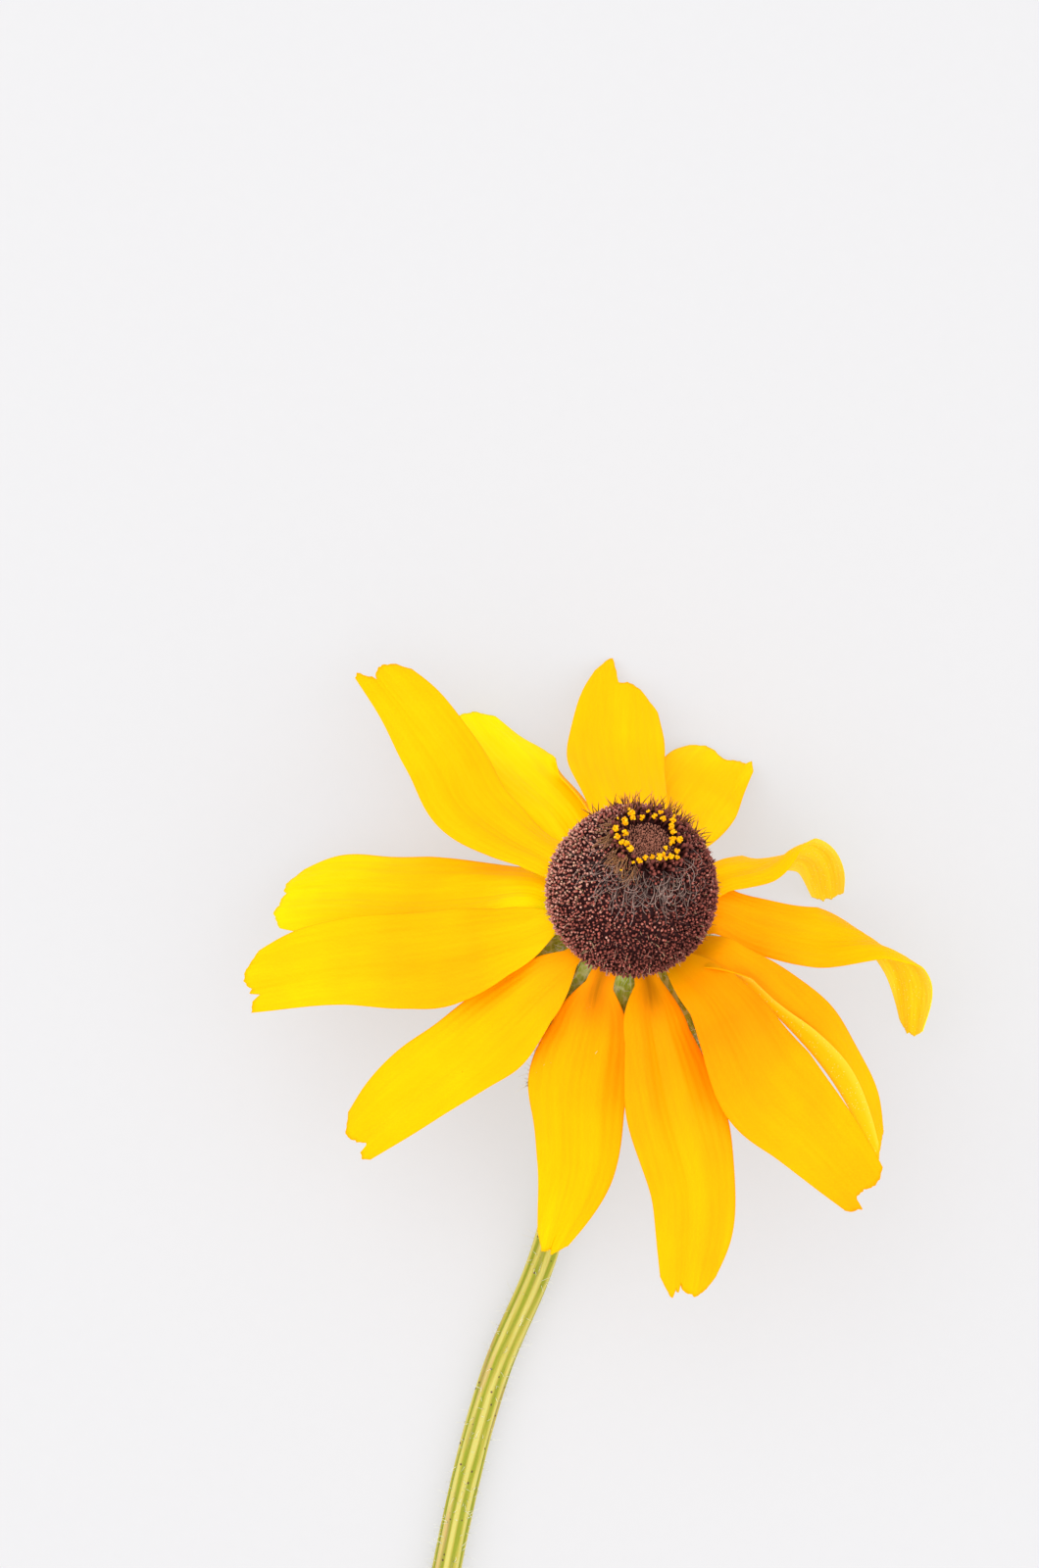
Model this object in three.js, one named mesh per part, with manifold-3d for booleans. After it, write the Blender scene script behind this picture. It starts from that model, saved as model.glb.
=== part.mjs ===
// Black eyed susan (Rudbeckia hirta): one open flower head on its cut stem, lying on a flat surface.
// The head leans on the tips of its upper rays, and the stem curves down from it and lies along the surface.
// Millimetres, +Z up, +Y from the cut end of the stem towards the head. The surface is the plane z = 0,
// and the origin is the middle of the flower's footprint on it.

import * as THREE from "three";
import { ConvexHull } from "three/addons/math/ConvexHull.js";
import { mergeVertices } from "three/addons/utils/BufferGeometryUtils.js";
import Module from "manifold-3d";

const wasm = await Module();
wasm.setup();

// ---------------------------------------------------------------- driving dimensions

const FOOTPRINT_MIDDLE = { x: -3.8, y: -29.9 }; // where the footprint's middle lies from below the head

const HEAD_HEIGHT = 30; // middle of the ring of ray roots, above the surface
const HEAD_TILT = 39; // degrees between the head's axis and the vertical
const HEAD_HEADING = 73; // degrees from +X towards +Y, where the head's axis leans

const CONE_RADIUS = 9.3; // widest part of the disc, to the valleys between the florets
const CONE_MIDDLE = 6.4; // height of that widest part above the ray roots
const CONE_CROWN = 0.7; // how much taller than round the top of the disc is
const CONE_FOOT = 0.9; // flat underside of the disc above the ray roots
const FLORET_COUNT = 470;
const FLORET_RELIEF = 0.75; // a floret's tip above the valleys round it
const EYE_DEPTH = 1.1; // the unopened middle of the disc is sunk by this much
const EYE_ANGLE = 17; // and spans this many degrees each way from the axis

const ANTHER_COUNT = 24;
const ANTHER_RING_RADIUS = 3.85;
const ANTHER_RADIUS = 0.72; // of a knob of pollen
const ANTHER_WAIST = 0.36; // of the ring between two knobs
const ANTHER_LIFT = 1.85; // the ring's middle above the disc's valleys

const RAY_THICKNESS = 0.7;
const RAY_COLUMNS = 8; // quads across a blade
const RAY_ROOT_RADIUS = 7.2;
const RAY_COLLAR = 1; // how far each ray runs straight out from the receptacle
const RAY_LAYER_STEP = 1.05; // between the layers that the ray roots lie in
const RAY_TOP_LAYER = 0.6; // depth of the first layer below the middle of the ring
const PLEAT_DEPTH = 0.28; // the two shallow grooves along a ray
const TIP_ROUNDING = 0.08; // how far a ray's margins fall short of its middle, as a share of its length

const CUP_RADIUS = 6.65; // of the receptacle that the rays stand round, and of the cup below it
const CUP_TOP = 3.9; // depth of the bracts' roots below the ring of ray roots
const CUP_RIM = 1.2; // height of the cup's steep rim, before it narrows to the stem
const CUP_DEPTH = 3.4;
const CUP_NECK_RADIUS = 2.55;
const BRACT_WIDTH = 3.4;
const BRACT_THICKNESS = 0.65;
const BRACT_ROOT = 3; // how far a bract's root is sunk into the cup
const BRACT_KEEL = 0.25; // how far its midrib stands below its margins

const STEM_RADIUS = 1.7;
const STEM_RIDGES = 8;
const STEM_GROOVE = 0.22;
const STEM_STRAIGHT = 4; // along the head's axis before it starts to curve
const STEM_STEPS = 40;
const GAP = 0.3; // left between neighbouring pieces

// Each ray, clockwise from the top of the head. azimuth is where its root sits round the head in degrees,
// layer is how deep, left and right are its half widths at even steps from root to tip, and path is the
// middle of the blade after the root: x and y from below the head and z above the surface. roll turns the
// blade about its own length and curl rolls up its right margin, both as [share of the length, degrees].
// teeth are [place across, depth, half width] of the tip's notches.
const RAYS = [
  { azimuth: 88, layer: 0,
    left: [1.9, 3.4, 4.7, 6, 5.3, 4.2, 2], right: [1.9, 3.4, 4.7, 5.5, 5.7, 4.6, 3],
    path: [[0.9, 12.4, 19], [-0.4, 20, 10], [0.2, 30.4, 0.3]],
    teeth: [[-0.12, 0.06, 0.15], [-0.8, 0.1, 0.7]] },
  { azimuth: 60, layer: 1,
    left: [1.9, 2.8, 3.8, 4.7, 5.6, 5.5, 3.2], right: [1.9, 2.6, 3.3, 4.7, 4.9, 3.9, 3],
    path: [[7.4, 11.8, 12], [13.6, 19.5, 0.3]],
    teeth: [[-0.35, 0.05, 0.2], [0.3, 0.04, 0.2]] },
  { azimuth: 37, layer: 0, rows: 16,
    left: [1.8, 2, 2.8, 3.2, 2.8, 2.2, 1.4], right: [1.8, 2, 2.4, 2.4, 2.4, 2.6, 2],
    path: [[10.6, 5.1, 26.4], [16, 6.3, 21.4], [19.4, 7.9, 17], [22.5, 7.2, 11], [24.5, 2, 0.3]],
    roll: [[0, 10], [0.22, 5], [0.34, -18], [0.46, -66], [0.57, -88], [0.75, -75], [1, -60]] },
  { azimuth: 24, layer: 2, rows: 16,
    left: [1.6, 2.8, 3.2, 3.9, 3.1, 2.2, 1.3], right: [1.6, 2.9, 3.4, 3.4, 3.7, 3, 1.5],
    path: [[10.4, 1.5, 25.6], [14.7, 0, 24], [22, -1.8, 21], [29, -2.6, 18], [32.7, -6, 13.5],
      [34, -13.5, 6]],
    roll: [[0, 10], [0.25, 25], [0.42, 20], [0.58, -38], [0.7, -60], [1, -55]] },
  { azimuth: -8, layer: 1, rows: 14,
    left: [1.6, 3.2, 4.1, 5.2, 5, 4.2, 1.9], right: [1.6, 3.2, 4.2, 4.4, 4.2, 3.3, 1.2],
    path: [[10.8, -4.2, 30.4], [18.2, -11.2, 26], [23.6, -17.5, 21.5], [29.6, -27.5, 14.5]],
    roll: [[0, 10], [0.25, 28], [1, 20]],
    curl: [[0.3, 0], [0.55, 60], [0.75, 90], [1, 110]] },
  { azimuth: -33, layer: 0,
    left: [1.7, 3.7, 5, 6, 5.2, 4.4, 2.9], right: [1.7, 3.4, 5.3, 5.9, 5.2, 4.2, 2.9],
    path: [[9.7, -7.6, 33.2], [12.5, -11.5, 33.6], [16.1, -17.9, 31.6], [20.7, -22.7, 29],
      [28.2, -31.2, 25.5]],
    roll: [[0, 8], [0.5, 15], [1, 15]],
    teeth: [[0.12, 0.06, 0.15]] },
  { azimuth: -65, layer: 1,
    left: [1.6, 4, 5.5, 5.9, 5.2, 4.7, 3], right: [1.6, 4, 5.6, 5.7, 5.2, 4.3, 3],
    path: [[3.5, -11.5, 33.4], [5.3, -19.5, 32.5], [7.9, -30.4, 29.8], [7, -42, 28]],
    teeth: [[-0.3, 0.04, 0.2], [0.3, 0.04, 0.2]] },
  { azimuth: -110, layer: 2,
    left: [1.8, 4.6, 5.5, 5.3, 4.5, 3.1, 1.3], right: [1.4, 4.2, 5.6, 5, 4.5, 3.2, 1.3],
    path: [[-4, -12, 31.3], [-5.2, -18.5, 29], [-5.4, -28.4, 24.5], [-8.4, -37.7, 21]],
    teeth: [[0, 0.03, 0.2]] },
  { azimuth: -138, layer: 1,
    left: [0.5, 3.7, 5.2, 4.6, 3.9, 3.3, 2.6], right: [1.8, 3.6, 4.5, 4.7, 5.1, 4.4, 2.6],
    path: [[-9.2, -7, 32.3], [-17.3, -14.2, 27.4], [-30.8, -25.5, 18.5]],
    roll: [[0, 0], [0.5, -15], [1, -15]],
    teeth: [[-0.1, 0.06, 0.2]] },
  { azimuth: -174, layer: 0,
    left: [0.5, 4.2, 6.2, 5.8, 4.8, 4.3, 3.7], right: [1.7, 4.5, 5.3, 5.4, 5.3, 4.9, 2.5],
    path: [[-11.6, -1.5, 30.4], [-17.5, -2.9, 29.4], [-24, -3.9, 26], [-32, -4.7, 23], [-43.2, -6.9, 18]],
    roll: [[0, 0], [0.5, -15], [1, -15]],
    teeth: [[0.3, 0.05, 0.2]] },
  { azimuth: 150, layer: 2,
    left: [1.4, 3, 4.6, 5, 5.2, 5, 3.6], right: [1.4, 3.9, 5.4, 6, 6.2, 6.1, 3.6],
    path: [[-10, 3.4, 25.4], [-15.5, 3.1, 21.6], [-24.3, 2.6, 17.8], [-32.3, 2.8, 13], [-39.6, 2.2, 8]],
    roll: [[0, 0], [0.5, -12], [1, -12]] },
  { azimuth: 136, layer: 0,
    left: [0.8, 2.9, 4.1, 4.7, 4.3, 3.1, 2.5], right: [1.4, 2.9, 4.1, 4.6, 4.4, 4.2, 2.8],
    path: [[-7.8, 6.9, 26.4], [-12.8, 9.8, 22.8], [-17.3, 13.4, 18.8], [-20.4, 18.8, 15], [-28.9, 29.6, 8]],
    roll: [[0, 0], [0.5, -12], [1, -12]],
    teeth: [[0.35, 0.05, 0.2]] },
  { azimuth: 113, layer: 1,
    left: [1.9, 2.6, 4.2, 4.6, 4.6, 3.7, 2.6], right: [1.8, 2.8, 4.2, 4.9, 5, 3.8, 2.6],
    path: [[-6.3, 11.6, 17], [-11.8, 17, 10], [-18.1, 24, 0.3]] },
];

// The green bracts under the rays: azimuth, length beyond the cup and droop in degrees.
const BRACTS = [
  [74, 9, 30], [46, 8, 34], [27, 10, 36], [-13, 11, 30], [-38, 10, 38], [-65, 12, 44], [-89, 10, 58],
  [-123, 14, 58], [-150, 10, 52], [-175, 10, 38], [157, 9, 36], [134, 9, 36], [104, 10, 34],
];

// The stem's middle line, from where it leaves the head's axis to its cut end.
const STEM_PATH = [
  [-4.5, -19, 10.5], [-8.5, -38.5, 2.6], [-14.5, -53.5, 1.65], [-18, -66, 1.65], [-20.5, -78, 1.65],
  [-22.5, -90, 1.65],
];

// ---------------------------------------------------------------- shared geometry helpers

const radians = THREE.MathUtils.degToRad;
const vec = (x, y, z) => new THREE.Vector3(x, y, z);

const headAxis = vec(
  Math.sin(radians(HEAD_TILT)) * Math.cos(radians(HEAD_HEADING)),
  Math.sin(radians(HEAD_TILT)) * Math.sin(radians(HEAD_HEADING)),
  Math.cos(radians(HEAD_TILT)),
);
const headRight = vec(1, 0, 0).addScaledVector(headAxis, -headAxis.x).normalize();
const headUp = headAxis.clone().cross(headRight);
const headMiddle = vec(0, 0, HEAD_HEIGHT);

// A place on the head: radius and azimuth round its axis, and height along it.
function onHead(radius, azimuth, height) {
  const angle = radians(azimuth);
  return headMiddle.clone()
    .addScaledVector(headRight, radius * Math.cos(angle))
    .addScaledVector(headUp, radius * Math.sin(angle))
    .addScaledVector(headAxis, height);
}

// Straight stretches through [place, value] pairs.
function between(pairs, place) {
  const next = pairs.findIndex(([at]) => at >= place);
  if (next === -1) return pairs[pairs.length - 1][1];
  if (next === 0) return pairs[0][1];
  const [from, low] = pairs[next - 1];
  const [to, high] = pairs[next];
  return low + ((high - low) * (place - from)) / (to - from);
}

function geometryFrom(points, triangles) {
  const geometry = new THREE.BufferGeometry();
  const positions = points.flatMap((point) => [point.x, point.y, point.z]);
  geometry.setAttribute("position", new THREE.Float32BufferAttribute(positions, 3));
  geometry.setIndex(triangles.flat());
  geometry.computeVertexNormals();
  return geometry;
}

function toSolid(geometry) {
  const bare = geometry.clone();
  bare.deleteAttribute("normal");
  bare.deleteAttribute("uv");
  const merged = mergeVertices(bare, 1e-4);
  return new wasm.Manifold(new wasm.Mesh({
    numProp: 3,
    vertProperties: merged.attributes.position.array,
    triVerts: new Uint32Array(merged.index.array),
  }));
}

function joined(geometries) {
  const mesh = geometries.map(toSolid).reduce((whole, piece) => whole.add(piece)).getMesh();
  const geometry = new THREE.BufferGeometry();
  geometry.setAttribute("position", new THREE.BufferAttribute(mesh.vertProperties, 3));
  geometry.setIndex(new THREE.BufferAttribute(mesh.triVerts, 1));
  geometry.computeVertexNormals();
  return geometry;
}

// Nothing reaches below the surface that the flower lies on: what would is pressed flat on it.
function rested(point) {
  return vec(point.x, point.y, Math.max(point.z, 0));
}

// A closed blade from the grid of its middle surface, half the thickness to each side of it. Both faces
// are split into triangles along the same diagonals.
function bladeGeometry(grid, thickness) {
  const rows = grid.length - 1;
  const columns = grid[0].length - 1;
  const across = columns + 1;
  const faces = [1, -1].map((side) => grid.flatMap((row, i) => row.map((point, k) => {
    const along = grid[Math.min(i + 1, rows)][k].clone().sub(grid[Math.max(i - 1, 0)][k]);
    const sideways = row[Math.min(k + 1, columns)].clone().sub(row[Math.max(k - 1, 0)]);
    const normal = along.cross(sideways).normalize();
    return rested(point.clone().addScaledVector(normal, (side * thickness) / 2));
  })));
  const points = faces.flat();
  const below = faces[0].length;
  const triangles = [];
  const quad = (a, b, c, d) => triangles.push([a, b, c], [a, c, d]);
  for (let i = 0; i < rows; i += 1) {
    for (let k = 0; k < columns; k += 1) {
      const a = i * across + k;
      quad(a, a + across, a + across + 1, a + 1);
      triangles.push([below + a, below + a + across + 1, below + a + across]);
      triangles.push([below + a, below + a + 1, below + a + across + 1]);
    }
  }
  for (let k = 0; k < columns; k += 1) {
    const end = rows * across + k;
    quad(k, k + 1, below + k + 1, below + k);
    quad(end + 1, end, below + end, below + end + 1);
  }
  for (let i = 0; i < rows; i += 1) {
    const left = i * across;
    const right = left + columns;
    quad(left + across, left, below + left, below + left + across);
    quad(right, right + across, below + right + across, below + right);
  }
  return geometryFrom(points, triangles);
}

// ---------------------------------------------------------------- rays

// Half the blade's width on one side of its middle line, at a share of its length.
function rayHalfWidth(ray, across, place) {
  const widths = across > 0 ? ray.left : ray.right;
  return between(widths.map((width, i) => [i / (widths.length - 1), width]), place);
}

// The blade's frame along its path: the point, the way ahead and the upper face's normal, carried along
// without twisting from the head's axis.
function rayFrames(ray, steps) {
  const height = -RAY_TOP_LAYER - RAY_LAYER_STEP * ray.layer;
  const collar = [0, RAY_COLLAR].map((out) => onHead(RAY_ROOT_RADIUS + out, ray.azimuth, height));
  const path = [...collar, ...ray.path.map(([x, y, z]) => vec(x, y, z))];
  const curve = new THREE.CatmullRomCurve3(path, false, "centripetal");
  const normal = headAxis.clone();
  const frames = [];
  for (let i = 0; i <= steps; i += 1) {
    const ahead = curve.getTangentAt(i / steps);
    normal.addScaledVector(ahead, -normal.dot(ahead)).normalize();
    frames.push({ point: curve.getPointAt(i / steps), ahead, normal: normal.clone() });
  }
  return frames;
}

// How far a point of the blade lies sideways and up from its middle line. The section bends by curl
// beyond the middle third, on the margin that rolls up.
function raySection(halfWidth, across, curl) {
  const STRIPS = 12;
  const FLAT_SHARE = 0.3;
  let sideways = 0;
  let up = 0;
  for (let strip = 0; strip < STRIPS; strip += 1) {
    const place = (across * (strip + 0.5)) / STRIPS;
    const bend = place < 0 ? (curl * Math.max(0, -place - FLAT_SHARE)) / (1 - FLAT_SHARE) : 0;
    sideways += (halfWidth * across * Math.cos(radians(bend))) / STRIPS;
    up += (halfWidth * Math.abs(across) * Math.sin(radians(bend))) / STRIPS;
  }
  return { sideways, up };
}

function rayGeometry(ray) {
  const rows = ray.rows ?? 12;
  const STEPS = 48;
  const frames = rayFrames(ray, STEPS);
  const grid = [];
  for (let i = 0; i <= rows; i += 1) {
    const row = [];
    for (let k = 0; k <= RAY_COLUMNS; k += 1) {
      const across = (2 * k) / RAY_COLUMNS - 1;
      let shortfall = TIP_ROUNDING * Math.abs(across) ** 3;
      for (const [at, depth, halfNotch] of ray.teeth ?? []) {
        shortfall += depth * Math.max(0, 1 - Math.abs(across - at) / halfNotch);
      }
      const place = (i / rows) * (1 - shortfall * (i / rows) ** 2);
      const low = Math.min(STEPS - 1, Math.floor(place * STEPS));
      const share = place * STEPS - low;
      const point = frames[low].point.clone().lerp(frames[low + 1].point, share);
      const ahead = frames[low].ahead.clone().lerp(frames[low + 1].ahead, share).normalize();
      const normal = frames[low].normal.clone().lerp(frames[low + 1].normal, share);
      normal.addScaledVector(ahead, -normal.dot(ahead)).normalize();
      normal.applyAxisAngle(ahead, radians(between(ray.roll ?? [[0, 0]], place)));
      const left = normal.clone().cross(ahead);
      const curl = between(ray.curl ?? [[0, 0]], place);
      const { sideways, up } = raySection(rayHalfWidth(ray, across, place), across, curl);
      const pleat = PLEAT_DEPTH * Math.cos(3 * Math.PI * across) * Math.min(1, 4 * place);
      row.push(point.addScaledVector(left, sideways).addScaledVector(normal, up + pleat));
    }
    grid.push(row);
  }
  return bladeGeometry(grid, RAY_THICKNESS);
}

// ---------------------------------------------------------------- disc of florets

// Distance from the disc's middle to its skin, in a direction given by its angle from the head's axis.
function coneReach(cosine, relief = 0) {
  const floor = (CONE_FOOT - CONE_MIDDLE) / Math.min(cosine, -1e-6);
  const angle = Math.acos(THREE.MathUtils.clamp(cosine, -1, 1));
  const eye = EYE_DEPTH * Math.exp(-((angle / radians(EYE_ANGLE)) ** 4));
  const dome = CONE_RADIUS + CONE_CROWN * Math.max(0, cosine) ** 2 - eye + relief;
  return cosine < 0 ? Math.min(dome, floor) : dome;
}

// Florets sit on the disc in the spirals of a golden angle, all of the same size. Each is a low pyramid:
// its tip stands above the valleys that it shares with its neighbours.
function coneGeometry() {
  const GOLDEN_ANGLE = Math.PI * (3 - Math.sqrt(5));
  const footCosine = -(CONE_MIDDLE - CONE_FOOT) / CONE_RADIUS;
  const directions = [];
  for (let i = 0; i < FLORET_COUNT; i += 1) {
    const cosine = 1 - ((i + 0.5) / FLORET_COUNT) * (1 - footCosine);
    const sine = Math.sqrt(1 - cosine * cosine);
    directions.push(vec(sine * Math.cos(i * GOLDEN_ANGLE), sine * Math.sin(i * GOLDEN_ANGLE), cosine));
  }
  const florets = directions.length;
  const RIM_POINTS = 24; // on the flat underside, a ring that keeps the florets' edge round
  const RIM_SLOPE = 1.6;
  for (let i = 0; i < RIM_POINTS; i += 1) {
    const angle = (2 * Math.PI * i) / RIM_POINTS;
    directions.push(vec(Math.cos(angle), Math.sin(angle), -RIM_SLOPE).normalize());
  }
  directions.push(vec(0, 0, -1));

  const hull = new ConvexHull().setFromPoints(directions);
  const numbers = new Map(directions.map((direction, i) => [direction, i]));
  const place = (direction, relief) => {
    const reach = coneReach(direction.z, relief);
    return onHead(0, 0, CONE_MIDDLE)
      .addScaledVector(headRight, direction.x * reach)
      .addScaledVector(headUp, direction.y * reach)
      .addScaledVector(headAxis, direction.z * reach);
  };
  const points = directions.map((direction, i) => place(direction, i < florets ? FLORET_RELIEF : 0));
  const valleys = new Map();
  for (const face of hull.faces) {
    const middle = vec(0, 0, 0);
    for (let side = 0; side < 3; side += 1) middle.add(face.getEdge(side).head().point);
    valleys.set(face, points.push(place(middle.normalize(), 0)) - 1);
  }
  const triangles = [];
  for (const face of hull.faces) {
    for (let side = 0; side < 3; side += 1) {
      const edge = face.getEdge(side);
      triangles.push([numbers.get(edge.tail().point), valleys.get(edge.twin.face), valleys.get(face)]);
    }
  }
  return geometryFrom(points, triangles);
}

// The ring of open florets round the eye: a thin ring that swells into a knob of pollen at each floret.
function antherGeometry() {
  const STEPS_PER_ANTHER = 4;
  const SIDES = 6;
  const around = ANTHER_COUNT * STEPS_PER_ANTHER;
  const angle = Math.atan2(ANTHER_RING_RADIUS, CONE_RADIUS);
  const height = CONE_MIDDLE + Math.cos(angle) * (coneReach(Math.cos(angle)) + ANTHER_LIFT);
  const points = [];
  const triangles = [];
  for (let i = 0; i < around; i += 1) {
    const swell = Math.sin((Math.PI * (i % STEPS_PER_ANTHER)) / STEPS_PER_ANTHER) ** 0.8;
    const radius = ANTHER_WAIST + (ANTHER_RADIUS - ANTHER_WAIST) * swell;
    for (let j = 0; j < SIDES; j += 1) {
      const turn = (2 * Math.PI * j) / SIDES;
      points.push(onHead(
        ANTHER_RING_RADIUS + radius * Math.cos(turn),
        (360 * i) / around,
        height + radius * Math.sin(turn),
      ));
      const a = i * SIDES + j;
      const b = i * SIDES + ((j + 1) % SIDES);
      const c = ((i + 1) % around) * SIDES + j;
      const d = ((i + 1) % around) * SIDES + ((j + 1) % SIDES);
      triangles.push([a, c, d], [a, d, b]);
    }
  }
  return geometryFrom(points, triangles);
}

// ---------------------------------------------------------------- involucre and stem

function placeOnHead(geometry) {
  const turn = new THREE.Matrix4().makeBasis(headRight, headUp, headAxis);
  turn.setPosition(headMiddle);
  return geometry.applyMatrix4(turn);
}

// The receptacle that the rays and the disc sit on, with the cup of the involucre under it.
function receptacleGeometry() {
  const SIDES = 20;
  const outline = [
    [0, CONE_FOOT - GAP], [CUP_RADIUS, CONE_FOOT - GAP], [CUP_RADIUS, -CUP_TOP],
    [CUP_RADIUS - 0.4, -CUP_TOP - CUP_RIM], [CUP_NECK_RADIUS, -CUP_TOP - CUP_DEPTH],
    [0, -CUP_TOP - CUP_DEPTH],
  ].reverse();
  const lathe = new THREE.LatheGeometry(outline.map(([x, y]) => new THREE.Vector2(x, y)), SIDES);
  return placeOnHead(lathe.rotateX(Math.PI / 2));
}

// A bract is sunk into the cup under its rim, droops more and more towards its tip, and tapers to a point.
function bractGeometry([azimuth, length, droop]) {
  const ROWS = 6;
  const SINK = 0.1;
  const grid = [];
  for (let i = 0; i <= ROWS; i += 1) {
    const place = i / ROWS;
    const reach = place * (length + BRACT_ROOT) - BRACT_ROOT;
    const bend = radians(droop) * (0.55 + 0.45 * place);
    const radius = CUP_RADIUS + Math.min(reach, 0) + Math.max(reach, 0) * Math.cos(bend);
    const height = -CUP_TOP - BRACT_THICKNESS / 2 - SINK - Math.max(reach, 0) * Math.sin(bend);
    const half = (BRACT_WIDTH / 2) * (0.9 - 0.78 * place ** 1.8);
    grid.push([1, 0, -1].map((side) => {
      const keel = side === 0 ? -BRACT_KEEL : 0;
      return onHead(radius, azimuth + THREE.MathUtils.radToDeg((side * half) / radius), height + keel);
    }));
  }
  return bladeGeometry(grid, BRACT_THICKNESS);
}

function involucreGeometry() {
  return joined([receptacleGeometry(), ...BRACTS.map(bractGeometry)]);
}

// The stem's section is round with ridges along it.
function stemGeometry() {
  const SIDES = 2 * STEM_RIDGES;
  const outline = Array.from({ length: SIDES }, (_, i) => {
    const radius = i % 2 === 0 ? STEM_RADIUS : STEM_RADIUS - STEM_GROOVE;
    const angle = (2 * Math.PI * i) / SIDES;
    return new THREE.Vector2(radius * Math.cos(angle), radius * Math.sin(angle));
  });
  const top = onHead(0, 0, -CUP_TOP - CUP_DEPTH - GAP);
  const below = onHead(0, 0, -CUP_TOP - CUP_DEPTH - GAP - STEM_STRAIGHT);
  const path = new THREE.CatmullRomCurve3([top, below, ...STEM_PATH.map(([x, y, z]) => vec(x, y, z))]);
  const geometry = new THREE.ExtrudeGeometry(new THREE.Shape(outline), {
    steps: STEM_STEPS,
    extrudePath: path,
    bevelEnabled: false,
  });
  const corners = geometry.attributes.position;
  for (let i = 0; i < corners.count; i += 1) corners.setZ(i, Math.max(corners.getZ(i), 0));
  return geometry;
}

// ---------------------------------------------------------------- the flower

function skin(color, roughness) {
  return new THREE.MeshStandardMaterial({ color, roughness, metalness: 0 });
}

const flower = new THREE.Group();

function add(name, geometry, material) {
  const mesh = new THREE.Mesh(geometry, material);
  mesh.name = name;
  flower.add(mesh);
}

RAYS.forEach((ray, i) => {
  add(`ray_${String(i + 1).padStart(2, "0")}`, rayGeometry(ray), skin(0xffc400, 0.55));
});
add("disc_cone", coneGeometry(), skin(0x3b1a17, 0.85));
add("anther_ring", antherGeometry(), skin(0xf2b705, 0.8));
add("involucre", involucreGeometry(), skin(0x6f8f2e, 0.8));
add("stem", stemGeometry(), skin(0xa9b64a, 0.7));

flower.position.set(-FOOTPRINT_MIDDLE.x, -FOOTPRINT_MIDDLE.y, 0);

export default flower;
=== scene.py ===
"""Black eyed susan: the finished look of one cut flower that lies on its back on a pale floor.

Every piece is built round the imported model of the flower, in its frame: +Z up from the floor, +Y from the
stem's cut end towards the head. Lengths are in millimetres until a mesh is made.
"""

import math

import bpy
import numpy as np
from bpy.props import FloatProperty, FloatVectorProperty, IntProperty, PointerProperty
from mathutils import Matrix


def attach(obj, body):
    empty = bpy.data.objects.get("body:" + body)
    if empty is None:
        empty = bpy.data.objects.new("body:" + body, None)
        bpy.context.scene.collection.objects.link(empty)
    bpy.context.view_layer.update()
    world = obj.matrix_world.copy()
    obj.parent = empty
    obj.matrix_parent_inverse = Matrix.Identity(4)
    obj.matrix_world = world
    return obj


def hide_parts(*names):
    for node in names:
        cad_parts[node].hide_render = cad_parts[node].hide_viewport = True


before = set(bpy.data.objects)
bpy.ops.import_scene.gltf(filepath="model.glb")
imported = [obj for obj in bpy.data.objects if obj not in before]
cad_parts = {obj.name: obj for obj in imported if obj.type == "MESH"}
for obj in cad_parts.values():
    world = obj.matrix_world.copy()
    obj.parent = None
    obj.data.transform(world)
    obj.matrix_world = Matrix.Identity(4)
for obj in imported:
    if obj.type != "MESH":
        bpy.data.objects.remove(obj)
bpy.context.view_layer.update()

bl_info = {
    "name": "Black Eyed Susan",
    "version": (1, 0, 0),
    "blender": (4, 5, 0),
    "location": "3D View > Sidebar > Flower",
    "description": "Builds the rays, disc, pollen, bracts and stem of a cut black eyed susan",
    "category": "Add Mesh",
}

MM = 0.001
BELOW_HEAD = np.array([3.8, 29.9, 0.0])  # the point of the floor under the middle of the head

# ------------------------------------------------------------------ the flower's own shape, after the solids

HEAD_HEIGHT = 30.0
HEAD_TILT = math.radians(39.0)
HEAD_HEADING = math.radians(73.0)
CONE_RADIUS = 9.3
CONE_MIDDLE = 6.4
CONE_CROWN = 0.7
DISC_FOOT = -0.6
DISC_TRIM = 0.15
EYE_DEPTH = 1.1
EYE_ANGLE = 17.0
ANTHER_RING_RADIUS = 3.85
ANTHER_LIFT = 1.85
RAY_ROOT_RADIUS = 7.2
RAY_LAYER_STEP = 1.05
RAY_TOP_LAYER = 0.6
CLAW_RADIUS = 5.4
CLAW_HEIGHT = -0.8
CLAW_ROWS = 6
CUP_RADIUS = 6.65
CUP_TOP = 3.9
CUP_RIM = 1.2
CUP_DEPTH = 3.4
CUP_NECK_RADIUS = 2.55
BRACT_WIDTH = 3.4
BRACT_ROOT = 3.0
STEM_RADIUS = 1.7
STEM_RIDGES = 8
STEM_GROOVE = 0.22
STEM_STRAIGHT = 4.0
GAP = 0.3
DISC_SHIFT = np.array([-0.37, -0.1, 0.0])
GOLDEN_ANGLE = math.pi * (3 - math.sqrt(5))

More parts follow.
